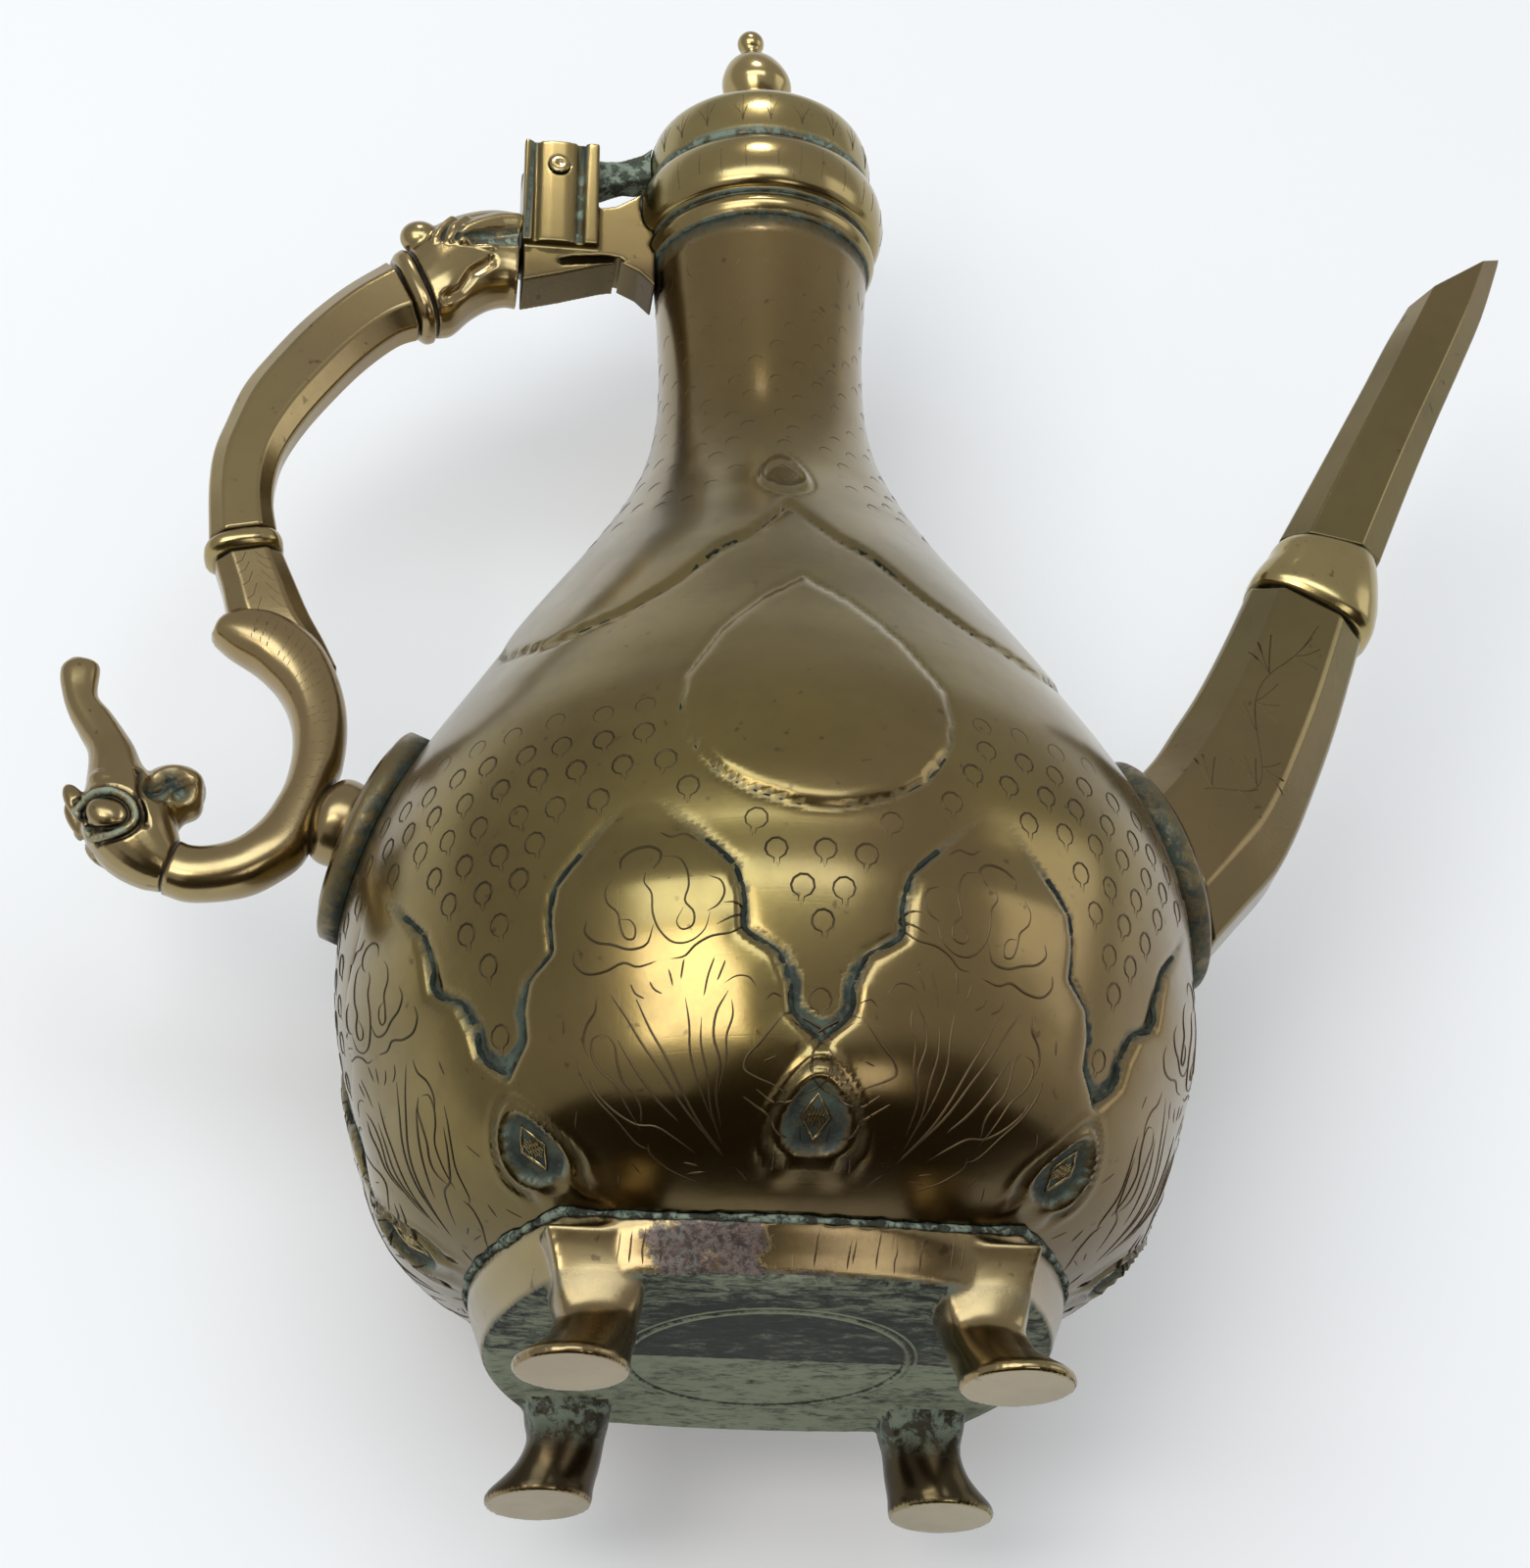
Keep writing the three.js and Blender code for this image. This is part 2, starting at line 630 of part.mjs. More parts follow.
function handleBar() {
  return solid(bar([
    ...upper([
      [32.6, -23, 25.6, -37.6, barHalfWidth], [40.4, -29.6, 29.6, -39.6, barHalfWidth],
      [47.7, -37.7, 35.6, -45.6, barHalfWidth], [53.7, -46.3, 41.1, -52.9, barHalfWidth],
    ]),
    ...lower([
      [26.4, 92.2, 14.4, 85.5, barHalfWidth], [29.1, 84, 17.9, 78.1, barHalfWidth],
      [30.9, 77.3, 19.1, 72.5, barHalfWidth], [31.3, 69.5, 19.3, 67, barHalfWidth],
      [30.5, 57.6, 18.2, 60.4, barHalfWidth],
    ]),
  ], 20, octagon));
}

function handleRing() {
  return solid(bar(lower([
    [30.4, 57.2, 18.2, 60, barHalfWidth], [31.3, 55.9, 17.3, 59.3, barHalfWidth + 0.9],
    [31, 54.4, 16.8, 57.7, barHalfWidth + 0.9], [29.6, 53.6, 16.9, 56.5, barHalfWidth],
  ]), 5, octagon));
}

const scrollStations = lower([
  [28.7, 38.4, 28.4, 37.8, 1.6], [27.2, 41.5, 28, 37.2, 3.6], [23.2, 43.8, 25.2, 34.8, 5],
  [18, 43.5, 20.9, 32.1, scrollHalfWidth], [13.1, 41.1, 18.3, 29.7, scrollHalfWidth],
  [9.3, 37.7, 16.3, 27.4, scrollHalfWidth], [6.5, 33.1, 14.6, 24.5, scrollHalfWidth],
  [4, 26, 13.4, 20.9, scrollHalfWidth], [3.2, 20.1, 12.9, 17.4, scrollHalfWidth],
  [3.6, 13, 13, 12.9, scrollHalfWidth], [4.7, 9.4, 13.8, 8.2, scrollHalfWidth],
  [6.8, 1.9, 15.4, 4.2, scrollHalfWidth], [9.5, -5.9, 17.4, 0.7, scrollHalfWidth],
  [13.3, -9.6, 19.8, -2.1, scrollHalfWidth], [18.1, -12.7, 22.7, -4.1, 5.4],
  [24, -14.4, 26.6, -5.2, 5], [30, -14.8, 29.3, -5.2, 4.8], [34, -13.6, 30.8, -4.6, 4.7],
]);

function handleScroll(growth = 0) {
  return solid(bar(scrollStations, 28, octagon, growth));
}

function handleTail() {
  const tail = solid(bar(lower([
    [29.2, 53.2, 17, 56.1, barHalfWidth - 0.3], [27.5, 48, 14.6, 50.6, barHalfWidth - 0.6],
    [25, 40, 11.4, 43.4, barHalfWidth - 1], [20, 36, 8.4, 38, barHalfWidth - 1.6],
    [14, 32, 5.6, 32.4, barHalfWidth - 2.4],
  ]), 8, octagon));
  return tail.subtract(handleScroll(seam));
}

function handleBoss() {
  // A barrel along the pad's direction, cut to the scroll.
  const half = 0.5 * bossRadius;
  const drum = seated(turned([
    [0, seam], [bossRadius - 1.2, seam], [bossRadius - 0.4, 1.4], [bossRadius, 3], [bossRadius, 5],
    [bossRadius - 0.7, bossLength - 0.4], [half, bossLength + 2],
    [0, bossLength + 2],
  ], smallSteps), handleSeat);
  return solid(drum).subtract(handleScroll(seam));
}

function terminalHead() {
  const head = solid(bar(lower([
    [34.4, -13.3, 31.2, -4.2, 5], [38.6, -12.4, 31.6, -2.6, 6.2], [44.6, -8.8, 32.6, 1.4, 7.8],
    [49, -1.8, 35, 6, 8], [48.6, 6.2, 38.6, 10, 6.2], [48.8, 12.9, 40.6, 14.2, 4.6],
    [50.7, 16.6, 42.6, 17.3, 3.8], [52.9, 20.6, 45.1, 20.8, 3.2], [54.4, 25, 47.9, 24.4, 2.8],
    [55, 29.8, 48, 30.2, 2.9], [53.6, 31.6, 48.6, 31, 2.2],
  ]), 18, softOctagon));
  const x = handleSeat.x;
  const z = handleSeat.z;
  const eye = (side) => blob([x - 44.2, side * 6.4, z - 2.6], [4.2, 2.9, 3.3], 0.5);
  const curl = solid(bar(lower([
    [39, 4, 32, -2, 4], [38.2, 8.6, 30.6, 0.4, 6], [35, 10.4, 28.8, 1.4, 6.2], [31.2, 10.3, 28, 2.6, 5.6],
    [28.4, 8.6, 27.8, 4.2, 4.2], [27.4, 6.4, 28.2, 4.6, 2.4],
  ]), 8, softOctagon));
  const tusk = (side) => blob([x - 49.6, side * 3.2, z + 1], [2.6, 1.6, 4.2], -0.35);
  return head.add(eye(1)).add(eye(-1)).add(curl).add(tusk(1)).add(tusk(-1)).subtract(handleScroll(seam));
}

function handlePad() {
  const depth = 12;
  const plate = seated(turned([
    [0, -depth], [handlePadRadius, -depth], [handlePadRadius, -1.4], [handlePadRadius - 2.4, -0.8],
    [handlePadRadius - 3.2, 0], [0, 0],
  ], mouthSteps), handleSeat);
  return solid(plate).subtract(bodyRoom);
}

// Spout, placed from the spout pad's face

const along = (stations) => from(spoutSeat, 1, stations);

function spoutPad() {
  const depth = 14;
  const plate = seated(turned([
    [spoutHoleRadius, -depth], [spoutPadRadius, -depth], [spoutPadRadius, -1.8],
    [spoutPadRadius - 1, -1.2], [spoutPadRadius - 1.8, -1.3], [spoutPadRadius - 2.4, -0.1],
    [spoutPadRadius - 3.6, 0], [spoutHoleRadius, 0], [spoutHoleRadius, -depth],
  ], mouthSteps), spoutSeat);
  return solid(plate).subtract(bodyRoom);
}

const lowerSpoutStations = along([
  [-5.5, 15.4, 7.5, -16.7, 13.5], [-0.6, 21.4, 14.5, -8.4, 13], [3.6, 28.2, 20.8, -0.8, 12.2],
  [7, 33.6, 24.6, 6, 11.8], [10.5, 39.9, 28, 13.6, 11.4], [15.6, 50.1, 34.2, 29, 10.6],
  [20.4, 60.4, 41.3, 49.8, 9.8],
]);

function spoutLower() {
  const reach = 2 * spoutPadRadius;
  const room = new THREE.CylinderGeometry(reach, reach, reach, 12).rotateX(Math.PI / 2);
  const behindPad = solid(seated(room.translate(0, 0, seam - reach / 2), spoutSeat));
  return solid(tube(lowerSpoutStations, 12, octagon, spoutWall)).subtract(behindPad);
}

function spoutRing() {
  return solid(tube(along([
    [20.6, 61.2, 41.6, 50.4, 9.7], [21, 62.8, 43.6, 51.4, 10.6], [22.6, 65.4, 45, 55, 10.8],
    [24.4, 67.6, 45.6, 59, 10.6], [26, 70.4, 46, 63.6, 10], [26.9, 71.2, 46, 67.4, 9.3],
  ]), 7, softOctagon, spoutWall + 1));
}

function spoutUpper() {
  return solid(tube(along([
    [27.2, 71.8, 46.6, 68, 8.4], [33.2, 83, 54, 85.5, 8], [40.1, 96, 61, 101.3, 7.7],
    [47.1, 109.2, 67.8, 115.9, 7.5], [52.9, 120.4, 73.6, 128.9, 7.4], [58.4, 130, 78.9, 143.6, 6.6],
  ]), 8, octagon, spoutWall - 0.3));
}

// Assembly

const ewer = new THREE.Group();

function place(name, shape, colour, roughness) {
  const material = new THREE.MeshStandardMaterial({ color: colour, roughness, metalness: 1 });
  const mesh = new THREE.Mesh(geometryOf(shape), material);
  mesh.name = name;
  ewer.add(mesh);
}

const agedBrass = 0x7a6840;
const wornBrass = 0x8d7a48;
const darkBrass = 0x5c4c30;
const greenBrass = 0x6b7a5c;

place('body_shell', bodyShell(), agedBrass, 0.35);
place('base_disc', baseDisc(), greenBrass, 0.6);
place('stand_frame', standFrame(), darkBrass, 0.45);
place('foot_front_right', foot(1, -1), agedBrass, 0.35);
place('foot_front_left', foot(-1, -1), agedBrass, 0.35);
place('foot_back_right', foot(1, 1), darkBrass, 0.45);
place('foot_back_left', foot(-1, 1), darkBrass, 0.45);
place('neck_ring', neckRing(), agedBrass, 0.35);
place('mouth_collar', mouthCollar(), agedBrass, 0.3);
place('hinge_bracket', hingeBracket(), agedBrass, 0.35);
place('hinge_pin', hingePin(), wornBrass, 0.3);
place('dragon_head', dragonHead(), wornBrass, 0.3);
place('dragon_collar', dragonCollar(), wornBrass, 0.3);
place('handle_bar', handleBar(), wornBrass, 0.35);
place('handle_ring', handleRing(), wornBrass, 0.3);
place('handle_tail', handleTail(), agedBrass, 0.4);
place('handle_scroll', handleScroll(), wornBrass, 0.35);
place('terminal_head', terminalHead(), agedBrass, 0.35);
place('handle_boss', handleBoss(), agedBrass, 0.35);
place('handle_pad', handlePad(), agedBrass, 0.35);
place('spout_pad', spoutPad(), agedBrass, 0.35);
place('spout_lower', spoutLower(), agedBrass, 0.35);
place('spout_ring', spoutRing(), wornBrass, 0.3);
place('spout_upper', spoutUpper(), darkBrass, 0.35);
place('lid_dome', lidDome(), agedBrass, 0.3);
place('lid_tongue', lidTongue(), greenBrass, 0.5);
place('lid_finial', lidFinial(), wornBrass, 0.3);

export default ewer;
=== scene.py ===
import json
import math
import random

import bmesh
import bpy
from mathutils import Matrix, Vector
from mathutils.bvhtree import BVHTree

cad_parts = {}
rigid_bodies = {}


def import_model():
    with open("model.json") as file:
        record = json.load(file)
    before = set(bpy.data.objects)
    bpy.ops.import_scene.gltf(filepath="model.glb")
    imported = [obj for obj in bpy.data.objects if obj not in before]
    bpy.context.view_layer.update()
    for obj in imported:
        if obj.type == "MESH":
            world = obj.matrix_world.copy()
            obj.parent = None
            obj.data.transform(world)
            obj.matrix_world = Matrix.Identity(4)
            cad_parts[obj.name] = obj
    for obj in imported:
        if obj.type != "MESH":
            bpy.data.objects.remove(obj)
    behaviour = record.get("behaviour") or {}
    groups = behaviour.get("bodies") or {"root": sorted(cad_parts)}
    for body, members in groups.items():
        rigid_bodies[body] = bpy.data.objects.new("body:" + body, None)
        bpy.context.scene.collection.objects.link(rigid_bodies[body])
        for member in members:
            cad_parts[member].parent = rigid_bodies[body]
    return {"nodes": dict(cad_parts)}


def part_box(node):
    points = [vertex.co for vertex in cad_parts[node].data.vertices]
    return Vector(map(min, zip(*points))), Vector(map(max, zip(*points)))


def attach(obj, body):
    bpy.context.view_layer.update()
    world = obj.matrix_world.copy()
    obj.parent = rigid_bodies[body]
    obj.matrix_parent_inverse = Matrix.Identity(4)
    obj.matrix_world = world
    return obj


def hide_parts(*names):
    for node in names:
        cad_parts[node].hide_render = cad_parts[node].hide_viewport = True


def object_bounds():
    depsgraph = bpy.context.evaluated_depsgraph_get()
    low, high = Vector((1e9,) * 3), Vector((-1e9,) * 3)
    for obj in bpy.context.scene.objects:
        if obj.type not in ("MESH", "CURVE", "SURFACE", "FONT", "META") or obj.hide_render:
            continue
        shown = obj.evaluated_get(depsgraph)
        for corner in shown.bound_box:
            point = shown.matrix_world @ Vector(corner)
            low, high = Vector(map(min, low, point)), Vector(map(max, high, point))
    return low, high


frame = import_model()
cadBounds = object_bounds()
mm = 0.001
random.seed(7)


# Small maths


def ramp(low, high, value):
    # 0 below low, 1 above high, smooth between them
    share = min(max((value - low) / (high - low), 0), 1)
    return share * share * (3 - 2 * share)


def tableAt(table, x):
    # straight lines through [x, y] rows, held at both ends
    if x <= table[0][0]:
        return table[0][1]
    for (x0, y0), (x1, y1) in zip(table, table[1:]):
        if x <= x1:
            return y0 + (y1 - y0) * (x - x0) / (x1 - x0)
    return table[-1][1]


def smoothLine(points, count):
    # evenly spread samples of a centripetal Catmull-Rom line through points of any dimension
    rows = [Vector(p) for p in points]
    rows = [2 * rows[0] - rows[1]] + rows + [2 * rows[-1] - rows[-2]]
    samples = []
    for i in range(count + 1):
        place = i * (len(points) - 1) / count
        k = min(int(place), len(points) - 2)
        p0, p1, p2, p3 = rows[k:k + 4]
        t1 = max((p1 - p0).length, 1e-6) ** 0.5
        t2 = t1 + max((p2 - p1).length, 1e-6) ** 0.5
        t3 = t2 + max((p3 - p2).length, 1e-6) ** 0.5
        t = t1 + (t2 - t1) * (place - k)
        a1 = p0 * ((t1 - t) / t1) + p1 * (t / t1)
        a2 = p1 * ((t2 - t) / (t2 - t1)) + p2 * ((t - t1) / (t2 - t1))
        a3 = p2 * ((t3 - t) / (t3 - t2)) + p3 * ((t - t2) / (t3 - t2))
        b1 = a1 * ((t2 - t) / t2) + a2 * (t / t2)
        b2 = a2 * ((t3 - t) / (t3 - t1)) + a3 * ((t - t1) / (t3 - t1))
        samples.append(b1 * ((t2 - t) / (t2 - t1)) + b2 * ((t - t1) / (t2 - t1)))
    return samples


def lineGap(x, y, line):
    # distance from (x, y) to a chain of points
    best = 1e9
    for (x0, y0), (x1, y1) in zip(line, line[1:]):
        dx, dy = x1 - x0, y1 - y0
        share = min(max(((x - x0) * dx + (y - y0) * dy) / (dx * dx + dy * dy), 0), 1)
        best = min(best, (x - x0 - share * dx) ** 2 + (y - y0 - share * dy) ** 2)
    return math.sqrt(best)


# Shader groups


def connect(tree, target, values):
    # links sockets and sets constants, each under the name of its input
    for key, value in values.items():
        if hasattr(value, "is_linked"):
            tree.links.new(value, target.inputs[key])
        else:
            target.inputs[key].default_value = value


def node(tree, kind, inputs=None, **settings):
    made = tree.nodes.new("ShaderNode" + kind)
    for key, value in settings.items():
        setattr(made, key, value)
    connect(tree, made, inputs or {})
    return made


def noise(tree, vector, scale, detail=3, rough=0.55, distort=0):
    inputs = {"Vector": vector, "Scale": scale, "Detail": detail, "Roughness": rough, "Distortion": distort}
    return node(tree, "TexNoise", inputs).outputs["Fac"]


def mathNode(tree, operation, a, b, clamp=False):
    return node(tree, "Math", {0: a, 1: b}, operation=operation, use_clamp=clamp).outputs[0]


def plusShare(tree, base, part, share, clamp=False):
    # base + part * share
    return mathNode(tree, "ADD", base, mathNode(tree, "MULTIPLY", part, share), clamp)


def remap(tree, value, low, high, out0=0, out1=1):
    inputs = {"Value": value, "From Min": low, "From Max": high, "To Min": out0, "To Max": out1}
    return node(tree, "MapRange", inputs, interpolation_type="SMOOTHSTEP").outputs[0]


def blendColour(tree, factor, a, b):
    return node(tree, "Mix", {"Factor": factor, 6: a, 7: b}, data_type="RGBA").outputs[2]


def attribute(tree, name):
    return node(tree, "Attribute", attribute_name=name).outputs["Fac"]


def makeGroup(name, inputs, outputs):
    # a node group, its sockets given as {name: kind}
    tree = bpy.data.node_groups.new(name, "ShaderNodeTree")
    for way, sockets in (("INPUT", inputs), ("OUTPUT", outputs)):
        for key, kind in sockets.items():
            tree.interface.new_socket(key, in_out=way, socket_type="NodeSocket" + kind)
    return tree, tree.nodes.new("NodeGroupInput").outputs, tree.nodes.new("NodeGroupOutput")


tones = {
    "castBrown": (0.26, 0.165, 0.085, 1), "speck": (0.05, 0.035, 0.02, 1), "shadeSoot": (0.024, 0.017, 0.010, 1),
    "crustDark": (0.014, 0.021, 0.015, 1), "crustLight": (0.044, 0.062, 0.043, 1),
    "powder": (0.25, 0.3, 0.225, 1),
    "scaleDark": (0.045, 0.032, 0.028, 1), "scaleLight": (0.16, 0.118, 0.1, 1),
    "ring": (0.12, 0.15, 0.12, 1),
    "rust": (0.11, 0.055, 0.022, 1), "plateDark": (0.018, 0.02, 0.017, 1),
    "plateLight": (0.056, 0.061, 0.05, 1),
    "plateBloom": (0.24, 0.27, 0.18, 1), "plateBrown": (0.06, 0.05, 0.036, 1),
}


def buildPatinaGroup():
    # cast brass: rubbed metal, brown film in blotches, dark soot painted in hollows and where told, as
    # painted shade and grime, green crust where told
    inputs = {"Vector": "Vector", "Metal": "Color", "Film": "Color"}
    inputs.update((key, "Float") for key in ("Film Amount", "Hollow", "Crust", "Bloom", "Grime", "Gloss"))
    outputs = {"Color": "Color", "Roughness": "Float", "Metallic": "Float", "Height": "Float",
               "Clean": "Float"}
    tree, given, result = makeGroup("patina", inputs, outputs)
    where = given["Vector"]
    broad = noise(tree, where, 26, 4, 0.6)
    middle = noise(tree, where, 150, 5, 0.65)
    fine = noise(tree, where, 1100, 3, 0.6)
    film = mathNode(tree, "MULTIPLY", remap(tree, broad, 0.36, 0.66), given["Film Amount"])
    film = plusShare(tree, film, remap(tree, middle, 0.45, 0.75), 0.22)
    colour = blendColour(tree, film, given["Metal"], given["Film"])
    cast = remap(tree, noise(tree, where, 11, 2, 0.5), 0.42, 0.62, 0, 0.35)
    colour = blendColour(tree, cast, colour, tones["castBrown"])
    specks = remap(tree, noise(tree, where, 420, 2, 0.5), 0.68, 0.76, 0, 0.5)
    colour = blendColour(tree, specks, colour, tones["speck"])
    # painted shade and grime: soot darkens the hollows found by ambient occlusion and wherever the mark is
    # set
    grime = plusShare(tree, given["Grime"], given["Hollow"], 0.7, True)
    colour = blendColour(tree, grime, colour, tones["shadeSoot"])
    flake = noise(tree, where, 340, 6, 0.72, 0.4)
    thick = remap(tree, flake, 0.36, 0.6)
    crust = mathNode(tree, "MULTIPLY", given["Crust"], mathNode(tree, "ADD", thick, 0.6), True)
    green = blendColour(tree, remap(tree, middle, 0.4, 0.66), tones["crustDark"], tones["crustLight"])
    colour = blendColour(tree, crust, colour, green)
    powder = mathNode(tree, "MULTIPLY", given["Bloom"], remap(tree, flake, 0.44, 0.58), True)
    colour = blendColour(tree, powder, colour, tones["powder"])
    dull = mathNode(tree, "MAXIMUM", crust, powder)
    rough = given["Gloss"]
    for part, share, clamp in ((film, 0.1, False), (fine, 0.05, False), (dull, 0.5, True)):
        rough = plusShare(tree, rough, part, share, clamp)
    height = mathNode(tree, "MULTIPLY", broad, 0.5)
    for part, share in ((middle, 0.14), (fine, 0.03), (mathNode(tree, "MULTIPLY", dull, thick), 0.9)):
        height = plusShare(tree, height, part, share)
    connect(tree, result, {
        "Color": colour, "Roughness": rough, "Metallic": plusShare(tree, 1.0, dull, -0.92, True),
        "Height": height,
        "Clean": mathNode(tree, "SUBTRACT", 1.0, mathNode(tree, "MAXIMUM", dull, grime), True),
    })
    return tree


def buildScratchGroup():
    # thin rubbing marks in two directions, as a height
    tree, given, result = makeGroup("scratches", {"Vector": "Vector", "Amount": "Float"},
                                    {"Height": "Float"})
    total = 0.0
    for turn, stretch in (((0.3, 0.2, 0.5), (1, 1, 30)), ((1.2, 0.4, -0.7), (28, 1, 1))):
        turned = node(tree, "Mapping", {"Vector": given["Vector"], "Rotation": turn, "Scale": stretch})
        marks = remap(tree, noise(tree, turned.outputs[0], 60, 2, 0.5), 0.62, 0.7)
        total = mathNode(tree, "MAXIMUM", total, marks)
    connect(tree, result, {"Height": mathNode(tree, "MULTIPLY", total, given["Amount"])})
    return tree


def buildPittingGroup():
    # purple-brown scale with pits and small green rings, where the metal has rotted
    tree, given, result = makeGroup("pitting", {"Vector": "Vector", "Base": "Color", "Amount": "Float"},
                                    {"Color": "Color", "Mask": "Float", "Height": "Float"})
    where = given["Vector"]
    mask = remap(tree, plusShare(tree, given["Amount"], noise(tree, where, 130, 6, 0.75), 1.1), 0.88, 1.04)
    grains = remap(tree, noise(tree, where, 760, 4, 0.75), 0.36, 0.62)
    scale = blendColour(tree, grains, tones["scaleDark"], tones["scaleLight"])
    cells = node(tree, "TexVoronoi", {"Vector": where, "Scale": 190}).outputs["Distance"]
    ring = mathNode(tree, "MULTIPLY", remap(tree, cells, 0.2, 0.27), remap(tree, cells, 0.34, 0.27), True)
    scale = blendColour(tree, mathNode(tree, "MULTIPLY", ring, 0.6), scale, tones["ring"])
    rust = remap(tree, noise(tree, where, 170, 3, 0.6), 0.56, 0.68, 0, 0.8)
    scale = blendColour(tree, rust, scale, tones["rust"])
    connect(tree, result, {"Color": blendColour(tree, mask, given["Base"], scale), "Mask": mask,
                           "Height": mathNode(tree, "MULTIPLY", mask, grains)})
    return tree


patinaGroup = buildPatinaGroup()
scratchGroup = buildScratchGroup()
pittingGroup = buildPittingGroup()


# Materials

bumpReach = 0.6 * mm
hollowReach = 1.6 * mm


def newMaterial(name):
    material = bpy.data.materials.new(name)
    material.use_nodes = True
    return material, material.node_tree, material.node_tree.nodes["Principled BSDF"]


def bumped(tree, height, strength):
    return node(tree, "Bump",
                {"Height": height, "Strength": strength, "Distance": bumpReach}).outputs["Normal"]


def brassMaterial(name, metal, film, filmAmount=0.5, gloss=0.2, crust=0.0, bump=0.22, scratch=0.2, coat=0.22,
                  pitted=False):
    material, tree, shader = newMaterial(name)
    shader.inputs["Coat Roughness"].default_value = 0.12
    where = node(tree, "TexCoord").outputs["Object"]
    # ambient occlusion finds the hollows, which are darkened as painted shade and gather a little crust
    hollow = node(tree, "AmbientOcclusion", {"Distance": hollowReach}, samples=8).outputs["AO"]
    hollowShade = remap(tree, hollow, 0.35, 0.8, 1, 0)
    crustHere = plusShare(tree, attribute(tree, "crust"), hollowShade, 0.2)
    patina = node(tree, "Group", {
        "Vector": where, "Metal": (*metal, 1), "Film": (*film, 1), "Film Amount": filmAmount, "Hollow": hollowShade,
        "Crust": mathNode(tree, "ADD", crustHere, crust, True), "Bloom": attribute(tree, "bloom"),
        "Grime": attribute(tree, "grime"), "Gloss": gloss,
    }, node_tree=patinaGroup).outputs
    marks = node(tree, "Group", {"Vector": where, "Amount": scratch}, node_tree=scratchGroup)
    colour, rough, metallic = (patina[key] for key in ("Color", "Roughness", "Metallic"))
    height = plusShare(tree, patina["Height"], marks.outputs[0], -0.08)
    if pitted:
        pits = node(tree, "Group", {"Vector": where, "Base": colour, "Amount": attribute(tree, "pitted")},
                    node_tree=pittingGroup).outputs
        colour = pits["Color"]
        rough = plusShare(tree, rough, pits["Mask"], 0.25, True)
        metallic = plusShare(tree, metallic, pits["Mask"], -0.5, True)
        height = plusShare(tree, height, pits["Height"], 1.2)
    connect(tree, shader, {
        "Normal": bumped(tree, height, bump), "Base Color": colour, "Roughness": rough, "Metallic": metallic,
        "Coat Weight": mathNode(tree, "MULTIPLY", patina["Clean"], coat),
    })
    return material


def buildPlateMaterial():
    # the underside's grey-green crust, drawn out along X, with a pale bloom where told
    material, tree, shader = newMaterial("plateCrust")
    where = node(tree, "TexCoord").outputs["Object"]
    drawn = node(tree, "Mapping", {"Vector": where, "Scale": (0.65, 1.45, 1)}).outputs[0]
    streaks = noise(tree, drawn, 330, 8, 0.78, 0.4)
    clouds = noise(tree, drawn, 60, 5, 0.65, 0.3)
    tone = plusShare(tree, streaks, mathNode(tree, "SUBTRACT", clouds, 0.5), 0.5)
    colour = blendColour(tree, remap(tree, tone, 0.32, 0.66), tones["plateDark"], tones["plateLight"])
    tone = plusShare(tree, tone, attribute(tree, "bloom"), 0.42)
    colour = blendColour(tree, remap(tree, tone, 0.6, 0.86), colour, tones["plateBloom"])
    brown = remap(tree, noise(tree, where, 60, 3, 0.6), 0.56, 0.7, 0, 0.5)
    height = plusShare(tree, tone, noise(tree, where, 1500, 3, 0.6), 0.3)
    connect(tree, shader, {
        "Normal": bumped(tree, height, 0.5),
        "Base Color": blendColour(tree, brown, colour, tones["plateBrown"]),
        "Roughness": remap(tree, tone, 0.4, 0.7, 0.8, 0.98), "Metallic": 0.1,
    })
    return material


bodyBrass = brassMaterial("bodyBrass", (0.228, 0.172, 0.058), (0.138, 0.1, 0.036), 0.6, 0.17)
mouthBrass = brassMaterial("mouthBrass", (0.36, 0.29, 0.115), (0.22, 0.17, 0.066), 0.5, 0.15)
hingeBrass = brassMaterial("hingeBrass", (0.22, 0.168, 0.066), (0.13, 0.096, 0.04), 0.5, 0.24)
handleBrass = brassMaterial("handleBrass", (0.34, 0.262, 0.118), (0.215, 0.158, 0.075), 0.5, 0.19)
spoutBrass = brassMaterial("spoutBrass", (0.215, 0.17, 0.07), (0.135, 0.104, 0.045), 0.55, 0.19)
footBrass = brassMaterial("footBrass", (0.28, 0.222, 0.1), (0.16, 0.118, 0.056), 0.6, 0.2, pitted=True)
goldBrass = brassMaterial("goldBrass", (0.4, 0.315, 0.135), (0.26, 0.2, 0.085), 0.4, 0.17)
greenBrass = brassMaterial("greenBrass", (0.24, 0.22, 0.14), (0.14, 0.14, 0.10), 0.7, 0.5, crust=0.5, coat=0)
engravedDark = brassMaterial("engravedDark", (0.075, 0.055, 0.03), (0.03, 0.022, 0.012), 0.5, 0.4, scratch=0,
                             coat=0)
crustGreen = brassMaterial("crustGreen", (0.03, 0.045, 0.038), (0.02, 0.03, 0.025), 0.4, 0.6, crust=0.8,
                           bump=0.9, coat=0)
plateCrust = buildPlateMaterial()
print("materials built")


# Making pieces


def newObject(name, data):
    made = bpy.data.objects.new(name, data)
    bpy.context.scene.collection.objects.link(made)
    return made


def newMesh(name, bm):
    mesh = bpy.data.meshes.new(name)
    bm.to_mesh(mesh)
    bm.free()
    return mesh


def finishPiece(bm, name, material, nodes=(), bevel=0, bodyName="vessel"):
    # from millimetres to metres, kept within the frame's own box
    bmesh.ops.scale(bm, vec=(mm, mm, mm), verts=bm.verts)
    for vert in bm.verts:
        vert.co = [min(max(value, low), high) for value, low, high in zip(vert.co, *cadBounds)]
    return dressMesh(newMesh(name, bm), name, material, nodes, bevel, bodyName)


